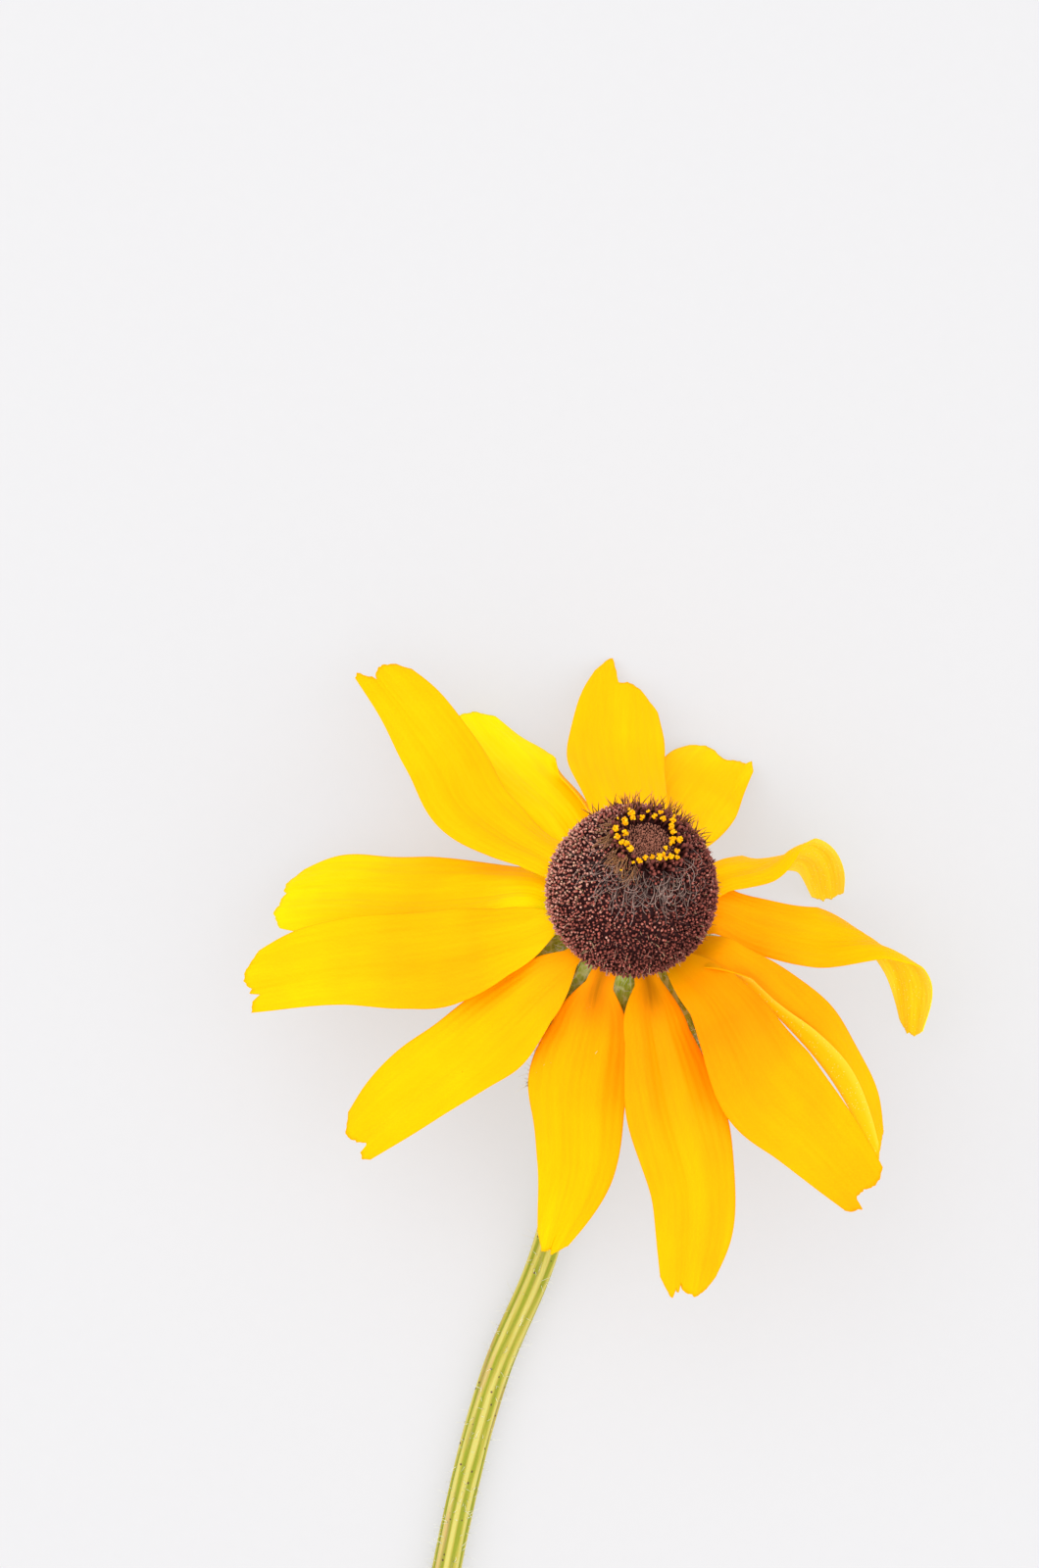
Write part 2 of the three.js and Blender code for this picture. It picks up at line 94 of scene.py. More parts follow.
# Each ray clockwise from the top of the head. path is where the middle of its blade runs after the root, and
# roll turns the blade about it, as [share of the length, degrees]. left and right are its half widths at even
# steps from root to tip. tip is the share by which its end falls short of its full length across the blade,
# from the right margin, -1, to the left one, 1. section is the lift of the lengthwise waves across the blade.
# fold turns the right margin over, at a crease fold_from of the half width to the right of the middle line.
# shades are how yellow it is at even steps from root to tip, from 0, orange, to 1, lemon. stain is how strong
# the olive shade beside the disc is. layer 0 lies on top.
RAYS = [
    dict(azimuth=88, layer=0, shades=(0.69, 0.66, 0.64, 0.66, 0.66),
         left=(1.9, 3.8, 5.0, 6.1, 5.3, 4.2, 2.0), right=(1.9, 3.4, 4.7, 5.5, 5.7, 4.6, 3.0),
         tip=[(-1, 0.2), (-0.6, 0.12), (-0.3, 0.1), (0, 0.105), (0.15, 0.05), (0.45, 0), (0.7, 0.01),
              (1, 0.06)], section=[(-1, -0.2), (-0.35, 0.12), (0.12, -0.1), (0.4, 0.06), (1, -0.2)],
         path=[(0.9, 12.4, 19), (-0.4, 20, 10), (0.2, 30.4, 0.3)]),
    dict(azimuth=60, layer=1, shades=(0.8, 0.78, 0.74, 0.7, 0.8),
         left=(1.9, 2.9, 4.0, 5.0, 5.9, 5.8, 3.5), right=(1.9, 2.6, 3.3, 4.7, 4.9, 3.9, 3.0),
         tip=[(-1, 0.05), (-0.8, 0), (-0.6, 0.04), (-0.38, 0.045), (-0.1, 0.065), (0.1, 0.075),
              (0.46, 0.06), (0.7, 0.05), (1, 0.08)],
         path=[(7.4, 11.8, 12), (13.6, 19.5, 0.3)]),
    dict(azimuth=37, layer=0, shades=(0.66, 0.61, 0.78, 0.91, 1.0), rows=84,
         left=(1.8, 2.0, 2.8, 3.2, 2.8, 2.2, 1.4), right=(1.8, 2.0, 2.4, 2.4, 2.4, 2.6, 2.0),
         tip=[(-1, 0.05), (-0.3, 0.0), (0.0, 0.02), (0.2, 0.0), (0.5, 0.015), (1, 0.05)],
         path=[(10.6, 5.1, 26.4), (16, 6.3, 21.4), (19.4, 7.9, 17), (22.5, 7.2, 11), (24.5, 2, 0.3)],
         roll=[(0, 10), (0.22, 5), (0.34, -18), (0.46, -66), (0.57, -88), (0.75, -75), (1, -60)]),
    dict(azimuth=24, layer=2, shades=(0.57, 0.39, 0.55, 0.9, 1.0), rows=84,
         left=(1.6, 2.8, 3.2, 3.9, 3.1, 2.2, 1.3), right=(1.6, 2.9, 3.4, 3.4, 3.7, 3.0, 1.5),
         tip=[(-1, 0.04), (-0.4, 0.0), (0.0, 0.015), (0.3, 0.0), (1, 0.04)],
         path=[(10.4, 1.5, 25.6), (14.7, 0, 24), (22, -1.8, 21), (29, -2.6, 18), (32.7, -6, 13.5),
               (34, -13.5, 6)], roll=[(0, 10), (0.25, 25), (0.42, 20), (0.58, -38), (0.7, -60), (1, -55)]),
    dict(azimuth=-8, layer=1, shades=(0.5, 0.32, 0.43, 0.62, 0.65), rows=84,
         left=(1.6, 3.2, 4.7, 5.5, 5.1, 4.3, 1.9), right=(1.6, 1.8, 1.3, 2.2, 2.7, 2.1, 0.9),
         tip=[(-1, 0.05), (0, 0), (1, 0.05)],
         path=[(10.8, -4.2, 30.4), (18.2, -11.2, 26), (23.6, -17.5, 21.5), (29.6, -27.5, 14.5)],
         roll=[(0, 10), (0.25, 28), (1, 20)], fold=[(0, 0), (0.09, 20), (0.22, 125), (0.35, 160), (1, 165)],
         fold_from=-0.05),
    dict(azimuth=-33, layer=0, shades=(0.46, 0.18, 0.42, 0.53, 0.46),
         left=(1.7, 3.7, 5.0, 6.0, 5.2, 4.4, 2.9), right=(1.7, 3.4, 5.3, 5.9, 5.2, 4.2, 2.9),
         tip=[(-1, 0.03), (-0.86, 0.018), (-0.55, 0), (-0.42, 0.04), (-0.36, 0.045), (0.1, 0.036),
              (0.4, 0.024), (0.7, 0.03), (1, 0.05)],
         path=[(9.7, -7.6, 33.2), (12.5, -11.5, 33.6), (16.1, -17.9, 31.6), (20.7, -22.7, 29),
               (28.2, -31.2, 25.5)], roll=[(0, 8), (0.5, 15), (1, 15)]),
    dict(azimuth=-65, layer=1, shades=(0.36, 0.3, 0.48, 0.53, 0.57), stain=1.0,
         left=(1.6, 4.0, 5.5, 5.9, 5.2, 4.7, 3.0), right=(1.6, 4.0, 5.6, 5.7, 5.2, 4.3, 3.0),
         tip=[(-1, 0.06), (-0.7, 0.005), (-0.6, 0), (-0.47, 0.03), (-0.37, 0.012), (-0.25, 0.045),
              (-0.1, 0.02), (0.33, 0), (0.6, 0.008), (0.8, 0.02), (1, 0.06)],
         section=[(-1, 0.0), (-0.5, 0.35), (-0.1, -0.25), (0.3, 0.3), (0.6, 0.12), (1, 0.05)],
         path=[(3.5, -11.5, 33.4), (5.3, -19.5, 32.5), (7.9, -30.4, 29.8), (7, -42, 28)]),
    dict(azimuth=-110, layer=2, shades=(0.26, 0.45, 0.61, 0.65, 0.7), stain=1.0,
         left=(1.8, 4.6, 5.5, 5.3, 4.5, 3.1, 1.3), right=(1.4, 4.2, 5.6, 5, 4.5, 3.2, 1.3),
         tip=[(-1, 0.05), (-0.5, 0), (-0.1, 0.01), (0.1, 0.02), (0.3, 0), (1, 0.05)],
         section=[(-1, -0.3), (-0.4, 0.3), (0.08, -0.3), (0.45, 0.35), (0.7, 0.0), (1, -0.2)],
         path=[(-4, -12, 31.3), (-5.2, -18.5, 29), (-5.4, -28.4, 24.5), (-8.4, -37.7, 21)]),
    dict(azimuth=-138, layer=1, shades=(0.39, 0.57, 0.65, 0.7, 0.6),
         left=(0.5, 3.7, 5.2, 4.6, 3.9, 3.3, 2.6), right=(1.8, 3.6, 4.5, 4.7, 5.1, 4.4, 2.6),
         tip=[(-1, 0.05), (-0.55, 0.01), (-0.2, 0.005), (-0.05, 0.02), (0.05, 0.02), (0.38, 0.05),
              (0.5, 0.012), (0.8, 0), (1, 0.02)],
         path=[(-9.2, -7, 32.3), (-17.3, -14.2, 27.4), (-30.8, -25.5, 18.5)],
         roll=[(0, 0), (0.5, -15), (1, -15)]),
    dict(azimuth=-174, layer=0, shades=(0.83, 0.49, 0.53, 0.68, 0.7),
         left=(0.5, 4.2, 6.2, 5.8, 4.8, 4.3, 3.7), right=(1.7, 4.5, 5.3, 5.4, 5.3, 4.9, 2.5),
         tip=[(-1, 0.05), (-0.8, 0.03), (-0.4, 0.006), (0, 0.003), (0.2, 0.012), (0.3, 0.03),
              (0.43, 0.018), (0.5, 0.055), (0.68, 0.025), (1, 0.018)],
         path=[(-11.6, -1.5, 30.4), (-17.5, -2.9, 29.4), (-24, -3.9, 26), (-32, -4.7, 23),
               (-43.2, -6.9, 18)], roll=[(0, 0), (0.5, -15), (1, -15)]),
    dict(azimuth=150, layer=2, shades=(1.0, 0.79, 0.63, 0.75, 0.85),
         left=(1.4, 3.0, 4.6, 5, 5.2, 5, 3.6), right=(1.4, 3.9, 5.4, 6.0, 6.2, 6.1, 3.6),
         tip=[(-1, 0.05), (-0.7, 0.012), (-0.5, 0.007), (-0.28, 0.012), (-0.2, 0.028), (-0.1, 0.012),
              (0.3, 0.01), (0.5, 0), (0.75, 0.015), (1, 0.035)],
         path=[(-10, 3.4, 25.4), (-15.5, 3.1, 21.6), (-24.3, 2.6, 17.8), (-32.3, 2.8, 13), (-39.6, 2.2, 8)],
         roll=[(0, 0), (0.5, -12), (1, -12)]),
    dict(azimuth=136, layer=0, shades=(0.81, 0.63, 0.61, 0.66, 0.62),
         left=(0.8, 2.9, 4.1, 4.7, 4.3, 3.1, 2.5), right=(1.4, 2.9, 4.1, 4.6, 4.4, 4.2, 2.8),
         tip=[(-1, 0.08), (-0.8, 0.047), (-0.6, 0.032), (-0.32, 0.02), (-0.05, 0.022), (0.12, 0.03),
              (0.2, 0.05), (0.35, 0.035), (0.8, 0), (1, 0.012)],
         path=[(-7.8, 6.9, 26.4), (-12.8, 9.8, 22.8), (-17.3, 13.4, 18.8), (-20.4, 18.8, 15),
               (-28.9, 29.6, 8)], roll=[(0, 0), (0.5, -12), (1, -12)]),
    dict(azimuth=113, layer=1, shades=(0.85, 0.85, 0.85, 0.96, 1.0),
         left=(1.9, 2.6, 4.2, 4.6, 4.6, 3.7, 2.6), right=(1.8, 2.8, 4.2, 4.9, 5.0, 3.8, 2.6),
         tip=[(-1, 0.06), (-0.5, 0.01), (0, 0), (0.5, 0.01), (1, 0.06)],
         path=[(-6.3, 11.6, 17), (-11.8, 17, 10), (-18.1, 24, 0.3)],
         fold=[(0, 0), (0.12, 120), (0.3, 160), (0.5, 150), (0.66, 0)], fold_from=0.7),
]

# Azimuth, length beyond the cup and droop of each bract.
BRACTS = [
    (74, 9, 30), (46, 8, 34), (27, 10, 36), (-13, 11, 30), (-38, 10, 38), (-65, 12, 44), (-89, 10, 58),
    (-123, 14, 58), (-150, 10, 52), (-175, 10, 38), (157, 9, 36), (134, 9, 36), (104, 10, 34),
]

# Degrees round the head, distance from the ring's middle and relative size of each clump of pollen.
CLUMPS = [
    (2, 2.6, 1.1), (18, 2.9, 1.0), (33, 3.0, 1.0), (42, 3.5, 1.0), (49, 4.4, 0.6), (58, 3.0, 0.9),
    (69, 3.6, 0.8), (77, 2.9, 0.9), (92, 3.2, 0.6), (108, 2.6, 0.9), (125, 3.4, 1.1), (129, 2.9, 0.9),
    (124, 4.0, 0.5), (147, 3.3, 0.9), (155, 3.0, 0.9), (149, 4.0, 0.4), (174, 3.7, 1.1), (179, 2.7, 1.0),
    (-169, 3.7, 1.0), (-156, 3.4, 0.9), (-148, 3.0, 0.9), (-136, 3.0, 1.0), (-123, 5.7, 0.3),
    (-115, 4.3, 0.5), (-108, 3.7, 0.9), (-99, 3.2, 0.8), (-85, 2.9, 0.8), (-71, 3.1, 1.1), (-59, 2.8, 0.8),
    (-59, 3.4, 0.7), (-47, 3.5, 0.9), (-38, 4.0, 0.8), (-37, 2.3, 0.8), (-29, 3.5, 0.9), (-14, 2.6, 0.9),
    (-4, 3.4, 1.0),
]

# Where the stem runs after its straight part, in millimetres from below the head.
STEM_PATH = [
    (-4.5, -19, 10.5), (-8.5, -38.5, 2.6), (-14.5, -53.5, 1.65), (-18, -66, 1.65), (-20.5, -78, 1.65),
    (-22.5, -90, 1.65),
]

# ------------------------------------------------------------------ sizes and colours a user may change


def length_property(name, description, value, low, high):
    return FloatProperty(
        name=name, description=description, default=value, min=low, max=high, unit="LENGTH", precision=5)


def count_property(name, description, value, most):
    return IntProperty(name=name, description=description, default=value, min=0, max=most)


def colour_property(name, description, value):
    return FloatVectorProperty(
        name=name, description=description, default=value, size=3, min=0.0, max=1.0, subtype="COLOR")


class FlowerSizes(bpy.types.PropertyGroup):
    """Sizes and counts of the flower's fine parts."""

    ray_thickness: length_property("Ray thickness", "Thickness of a ray's blade", 0.00032, 0.0001, 0.0007)
    vein_relief: length_property("Vein relief", "Height of the fine ridges along a ray", 0.00003, 0.0, 0.0003)
    floret_spacing: length_property(
        "Floret spacing", "Distance between neighbouring tips on the disc", 0.000465, 0.0003, 0.001)
    floret_height: length_property(
        "Floret height", "How far the tips stand out of the disc", 0.00045, 0.0002, 0.0008)
    scale_count: count_property("Scales", "Fine pointed scales between the tips of the disc", 3200, 8000)
    clump_size: length_property("Clump size", "Width of a clump of pollen", 0.00072, 0.0002, 0.001)
    curled_count: count_property("Curled styles", "Spent styles that lie curled over the disc", 150, 800)
    golden_count: count_property("Golden styles", "Younger styles that lean out from the collar", 80, 400)
    forked_count: count_property("Forked styles", "Forked styles that still stand out of the disc", 70, 1200)
    hair_length: length_property(
        "Hair length", "Length of the hairs of stem and bracts", 0.0012, 0.0002, 0.003)
    stem_hairs: count_property("Stem hairs", "Hairs along the stem", 700, 3000)
    bract_hairs: count_property("Bract hairs", "Hairs on all the bracts together", 3200, 6000)


class FlowerColours(bpy.types.PropertyGroup):
    """Linear colours of the flower's finishes."""

    ray_root: colour_property("Ray root", "Deepest orange, at the root of a ray", (1.0, 0.194, 0.0))
    ray_middle: colour_property("Ray middle", "Golden yellow of a ray's middle", (1.0, 0.317, 0.0))
    ray_tip: colour_property("Ray tip", "Yellow near a ray's tip", (1.0, 0.484, 0.0))
    ray_lemon: colour_property("Ray lemon", "Lemon of the palest tips", (0.96, 0.757, 0.0))
    ray_stain: colour_property("Ray stain", "Olive brown stain on a ray's root", (0.484, 0.15, 0.0))
    ray_underside: colour_property("Ray underside", "Paler yellow of a ray's back", (1.0, 0.64, 0.011))
    # floret_dark is the florets' own purple brown and also painted shade in the hollows and at their feet.
    floret_dark: colour_property("Floret dark", "Purple brown between the tips", (0.026, 0.004, 0.004))
    floret_tip: colour_property("Floret tip", "Reddish brown of the floret tips", (0.458, 0.119, 0.088))
    floret_pale: colour_property("Floret pale", "Pinkish brown of the palest tips", (0.757, 0.378, 0.29))
    eye_colour: colour_property("Eye", "Reddish brown of the young florets", (0.581, 0.238, 0.158))
    style_colour: colour_property("Style", "Grey brown of the curled styles", (0.334, 0.22, 0.185))
    style_gold: colour_property("Golden style", "Golden brown of the younger styles", (0.37, 0.158, 0.048))
    pollen_colour: colour_property("Pollen", "Yellow of the pollen", (1.0, 0.528, 0.004))
    bract_colour: colour_property("Bract", "Green of the bracts", (0.43, 0.53, 0.035))
    stem_ridge: colour_property("Stem ridge", "Pale yellow green of its ridges", (0.44, 0.378, 0.057))
    stem_groove: colour_property("Stem groove", "Green of its grooves", (0.264, 0.29, 0.018))
    hair_colour: colour_property("Hair", "White of the hairs", (0.85, 0.85, 0.74))
    floor_colour: colour_property("Floor", "Pale floor", (0.255, 0.251, 0.255))


# ------------------------------------------------------------------ places on the flower


def unit(vectors):
    return vectors / np.maximum(np.linalg.norm(vectors, axis=-1, keepdims=True), 1e-12)


def square_to(way, vectors):
    """The directions of vectors once their share along a way is taken off."""
    return unit(vectors - np.sum(vectors * way, axis=-1, keepdims=True) * way)


HEAD_AXIS = np.array([
    math.sin(HEAD_TILT) * math.cos(HEAD_HEADING),
    math.sin(HEAD_TILT) * math.sin(HEAD_HEADING),
    math.cos(HEAD_TILT),
])
HEAD_RIGHT = square_to(HEAD_AXIS, np.array([1.0, 0.0, 0.0]))
HEAD_UP = np.cross(HEAD_AXIS, HEAD_RIGHT)
HEAD_MIDDLE = np.array([0.0, 0.0, HEAD_HEIGHT])


def on_head(radius, azimuth, height):
    """Places given by distance from the head's axis, degrees round it and height along it."""
    radius, azimuth, height = np.broadcast_arrays(radius, np.radians(azimuth), height)
    return (HEAD_MIDDLE + (radius * np.cos(azimuth))[..., None] * HEAD_RIGHT
            + (radius * np.sin(azimuth))[..., None] * HEAD_UP + height[..., None] * HEAD_AXIS)


def cone_reach(angle):
    """Distance from the disc's middle to its skin, at degrees from the head's axis."""
    cosine = np.cos(np.radians(angle))
    eye = EYE_DEPTH * np.exp(-((angle / EYE_ANGLE) ** 4))
    dome = CONE_RADIUS - DISC_TRIM + CONE_CROWN * np.maximum(cosine, 0) ** 2 - eye
    floor = (DISC_FOOT - CONE_MIDDLE) / np.minimum(cosine, -1e-6)
    return np.where(cosine < 0, np.minimum(dome, floor), dome)


def on_disc(angle, azimuth, lift):
    """Places on the disc, by degrees from the head's axis and round it, and height above the skin."""
    reach, tilt = cone_reach(angle) + lift, np.radians(angle)
    return on_head(reach * np.sin(tilt), azimuth, CONE_MIDDLE + reach * np.cos(tilt)) + DISC_SHIFT


def outward(angle, azimuth):
    """The way out of the disc, at degrees from the head's axis and round it."""
    return on_head(np.sin(np.radians(angle)), azimuth, np.cos(np.radians(angle))) - HEAD_MIDDLE


SPINE_STEPS = 60  # short chords between two given points


def spine(points, samples):
    """Evenly spaced points of a smooth curve through the given ones, and its length."""
    points = np.array(points, float)
    ends = np.vstack([2 * points[0] - points[1], points, 2 * points[-1] - points[-2]])
    pieces = []
    for a, b, c, d in zip(ends, ends[1:], ends[2:], ends[3:]):
        t = np.linspace(0, 1, SPINE_STEPS, endpoint=False)[:, None]
        first, middle, last = (math.sqrt(np.linalg.norm(q - p)) for p, q in ((a, b), (b, c), (c, d)))
        start = ((b - a) / first - (c - a) / (first + middle) + (c - b) / middle) * middle
        stop = ((c - b) / middle - (d - b) / (middle + last) + (d - c) / last) * middle
        pieces.append(b + start * t + (3 * (c - b) - 2 * start - stop) * t ** 2
                      + (2 * (b - c) + start + stop) * t ** 3)
    curve = np.vstack(pieces + [points[-1:]])
    run = np.concatenate([[0], np.cumsum(np.linalg.norm(np.diff(curve, axis=0), axis=1))])
    even = np.linspace(0, run[-1], samples)
    return np.stack([np.interp(even, run, curve[:, k]) for k in range(3)], axis=1), run[-1]


def carried(curves, normal):
    """The ways ahead along curves, and normals that are carried along them without twisting."""
    ahead = unit(np.gradient(curves, axis=-2))
    normals = np.empty_like(curves)
    for i in range(curves.shape[-2]):
        normal = square_to(ahead[..., i, :], normal)
        normals[..., i, :] = normal
    return ahead, normals


def rings(ahead, normals, sides):
    """Circles of points of radius 1 round every way ahead, each from its normal on."""
    turn = np.linspace(0, 2 * math.pi, sides, endpoint=False)[:, None]
    across = np.cross(ahead, normals)
    return np.cos(turn) * normals[..., None, :] + np.sin(turn) * across[..., None, :]


def sheet_normals(grid):
    return unit(np.cross(np.gradient(grid, axis=0), np.gradient(grid, axis=1)))


def along_table(table, place):
    """The value at a place of a table of pairs of place and value."""
    return np.interp(place, [at for at, _ in table], [value for _, value in table])


# ------------------------------------------------------------------ meshes


def sheet_faces(rows, columns, first=0, flip=False):
    """The quads of a grid of points."""
    corner = first + np.arange(rows)[:, None] * (columns + 1) + np.arange(columns)
    quads = np.stack([corner, corner + columns + 1, corner + columns + 2, corner + 1], axis=-1).reshape(-1, 4)
    return quads[:, ::-1] if flip else quads


def blade(grid, thickness):
    """A closed blade round the grid of its middle surface. Returns the points, the quads, and which of
    them are on the back."""
    rows, columns = grid.shape[0] - 1, grid.shape[1] - 1
    normal = sheet_normals(grid)
    half = np.broadcast_to(np.asarray(thickness, float), grid.shape[:2])[..., None] / 2
    front, back = grid + normal * half, grid - normal * half
    points = np.vstack([front.reshape(-1, 3), back.reshape(-1, 3)])
    points[:, 2] = np.maximum(points[:, 2], 0.0)
    below = (rows + 1) * (columns + 1)
    loop = np.concatenate([
        np.arange(columns), columns + np.arange(rows) * (columns + 1),
        below - 1 - np.arange(columns), (rows - np.arange(rows)) * (columns + 1),
    ])
    rim = np.stack([loop, np.roll(loop, -1), np.roll(loop, -1) + below, loop + below], axis=1)
    quads = np.vstack([sheet_faces(rows, columns), rim, sheet_faces(rows, columns, below, flip=True)])
    on_back = np.zeros(len(quads), int)
    on_back[-rows * columns:] = 1
    return points, quads, on_back


def tube_faces(rows, sides, flip=False):
    """The quads of a closed tube from its first ring of points to its last, and its two end faces."""
    a = np.arange(rows)[:, None] * sides + np.arange(sides)
    b = np.arange(rows)[:, None] * sides + (np.arange(sides) + 1) % sides
    corners = [a, b, b + sides, a + sides] if flip else [a, a + sides, b + sides, b]
    ends = [list(range(sides)), list(range(rows * sides, (rows + 1) * sides))[::-1]]
    return np.stack(corners, axis=-1).reshape(-1, 4).tolist() + [end[::-1] if flip else end for end in ends]


def threads(paths, radii, sides):
    """Closed tubes along many paths at once. paths is (threads, points, 3) and radii (threads, points)."""
    count, steps, _ = paths.shape
    start = unit(paths[:, 1] - paths[:, 0])
    helper = np.where(np.abs(start[:, 2:]) > 0.8, [[1.0, 0.0, 0.0]], [[0.0, 0.0, 1.0]])
    ahead, normals = carried(paths, np.cross(start, helper))
    points = paths[:, :, None] + radii[..., None, None] * rings(ahead, normals, sides)
    first = np.arange(count)[:, None, None] * steps * sides + np.arange(steps - 1)[None, :, None] * sides
    a, b = first + np.arange(sides), first + (np.arange(sides) + 1) % sides
    walls = np.stack([a, b, b + sides, a + sides], axis=-1).reshape(-1, 4)
    foot = np.arange(count)[:, None] * steps * sides
    caps = np.vstack([foot + np.arange(sides)[::-1], foot + (steps - 1) * sides + np.arange(sides)])
    return points.reshape(-1, 3), walls.tolist() + caps.tolist()


def gathered(parts):
    """Joins pairs of points and faces into one."""
    points, faces, start = [], [], 0
    for part_points, part_faces in parts:
        points.append(part_points)
        faces.extend([start + corner for corner in face] for face in part_faces)
        start += len(part_points)
    return np.vstack(points), faces


def make_piece(name, points, faces, finishes, nodes=(), face_finish=None, fields=None):
    """Makes a piece that rides with the flower, from points in millimetres from below the head."""
    mesh = bpy.data.meshes.new(name)
    faces = faces.tolist() if isinstance(faces, np.ndarray) else faces
    mesh.from_pydata(((points + BELOW_HEAD) * MM).tolist(), [], faces)
    for finish in finishes:
        mesh.materials.append(finish)
    if face_finish is not None:
        mesh.polygons.foreach_set("material_index", np.asarray(face_finish, dtype=np.int32))
    mesh.polygons.foreach_set("use_smooth", np.ones(len(faces), dtype=bool))
    for field, values in (fields or {}).items():
        attribute = mesh.attributes.new(field, "FLOAT", "POINT")
        attribute.data.foreach_set("value", np.broadcast_to(values, (len(points),)).astype(np.float32))
    mesh.update()
    piece = bpy.data.objects.new(name, mesh)
    bpy.context.scene.collection.objects.link(piece)
    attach(piece, "root")
    if nodes:
        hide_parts(*nodes)


# ------------------------------------------------------------------ finishes


class Finish:
    """A material round one Principled shader, with short ways to add its nodes."""

    def __init__(self, name, roughness, **uniform):
        self.material = bpy.data.materials.new(name)
        self.material.use_nodes = True
        self.nodes = self.material.node_tree.nodes
        self.links = self.material.node_tree.links
        self.shader = self.nodes["Principled BSDF"]
        self.shader.inputs["Roughness"].default_value = roughness
        for socket, value in uniform.items():
            self.shader.inputs[socket.replace("_", " ").title().replace("Ior", "IOR")].default_value = value

    def put(self, value, socket):
        if isinstance(value, bpy.types.NodeSocket):
            self.links.new(value, socket)
        elif socket.type == "RGBA":
            socket.default_value = (*value[:3], 1.0)
        else:
            socket.default_value = value

    def field(self, name):
        node = self.nodes.new("ShaderNodeAttribute")
        node.attribute_name = name
        return node.outputs["Fac"]

    def place(self):
        return self.nodes.new("ShaderNodeTexCoord").outputs["Object"]

    def vector(self, x=0.0, y=0.0, z=0.0):
        node = self.nodes.new("ShaderNodeCombineXYZ")
        for socket, value in zip(node.inputs, (x, y, z)):
            self.put(value, socket)
        return node.outputs[0]

    def maths(self, operation, a, b=0.0, clamp=False):
        node = self.nodes.new("ShaderNodeMath")
        node.operation = operation
        node.use_clamp = clamp
        self.put(a, node.inputs[0])
        self.put(b, node.inputs[1])
        return node.outputs[0]

    def spread(self, value, low, high, to_low=0.0, to_high=1.0):
        node = self.nodes.new("ShaderNodeMapRange")
        self.put(value, node.inputs["Value"])
        node.inputs["From Min"].default_value = low
        node.inputs["From Max"].default_value = high
        node.inputs["To Min"].default_value = to_low
        node.inputs["To Max"].default_value = to_high
        return node.outputs[0]

    def noise(self, vector, scale, detail=3.0):
        node = self.nodes.new("ShaderNodeTexNoise")
        self.put(vector, node.inputs["Vector"])
        node.inputs["Scale"].default_value = scale
        node.inputs["Detail"].default_value = detail
        node.inputs["Roughness"].default_value = 0.55
        return node.outputs["Fac"]

    def cells(self, vector, scale):
        node = self.nodes.new("ShaderNodeTexVoronoi")
        self.put(vector, node.inputs["Vector"])
        node.inputs["Scale"].default_value = scale
        return node.outputs["Distance"]

    def ramp(self, value, stops):
        node = self.nodes.new("ShaderNodeValToRGB")
        elements = node.color_ramp.elements
        while len(elements) < len(stops):
            elements.new(0.5)
        for element, (at, colour) in zip(elements, stops):
            element.position = at
            element.color = (*colour[:3], 1.0)
        self.put(value, node.inputs["Fac"])
        return node.outputs["Color"]

    def mix(self, share, a, b, blend="MIX"):
        node = self.nodes.new("ShaderNodeMix")
        node.data_type = "RGBA"
        node.blend_type = blend
        self.put(share, node.inputs["Factor"])
        for value, name in ((a, "A"), (b, "B")):
            self.put(value, next(s for s in node.inputs if s.name == name and s.type == "RGBA"))
        return next(s for s in node.outputs if s.name == "Result" and s.type == "RGBA")

    def over(self, colour, coat, value, low, high, most=1.0, least=0.0):
        """Lays a coat over a colour, from its least share at value low to its most at high."""
        return self.mix(self.spread(value, low, high, least, most), colour, coat)

    def drawn_out(self, across, along, stretch, third=0.0):
        """A place for patterns that are drawn out along the second axis."""
        return self.vector(across, self.maths("MULTIPLY", along, stretch), third)

    def bump(self, height, depth):
        node = self.nodes.new("ShaderNodeBump")
        node.inputs["Strength"].default_value = 1.0
        node.inputs["Distance"].default_value = depth * MM
        self.put(height, node.inputs["Height"])
        self.put(node.outputs["Normal"], self.shader.inputs["Normal"])

    def paint(self, colour, roughness=None):
        self.put(colour, self.shader.inputs["Base Color"])
        if roughness is not None:
            self.put(roughness, self.shader.inputs["Roughness"])
        return self.material


def darker(colour, share):
    return tuple(share * channel for channel in colour)


# Linear colours of the small marks and of the ends of some blends.
RAY_FLECK = (0.8, 0.15, 0.0)
BACK_DEEP, BACK_VEIN = (1.0, 0.44, 0.0), (1.0, 0.47, 0.0)
BACK_MARGIN, BACK_SPECK = (1.0, 0.68, 0.06), (1.0, 0.8, 0.25)
FLORET_STRAW = (0.85, 0.6, 0.33)
FORKED_ROOT, FORKED_TIP, FORKED_GOLD = (0.06, 0.018, 0.012), (0.6, 0.2, 0.05), (0.3, 0.1, 0.03)
POLLEN_DEEP, POLLEN_PALE = (0.8, 0.32, 0.0), (1.0, 0.75, 0.05)
BRACT_RIB, BRACT_NET, BRACT_BROWN = (0.62, 0.66, 0.25), (0.72, 0.74, 0.4), (0.2, 0.09, 0.02)
# The crest colour is a painted highlight on the stem's ridge crests; the flush and spots are its own purple.
STEM_CREST_HIGHLIGHT, STEM_FLUSH, STEM_SPOT = (0.56, 0.5, 0.13), (0.5, 0.27, 0.16), (0.07, 0.012, 0.03)
HAIR_ROOT, HAIR_SHADE = (0.45, 0.5, 0.25), (0.65, 0.65, 0.45)
FLOOR_GLOW = (0.985, 0.985, 1.0, 1.0)


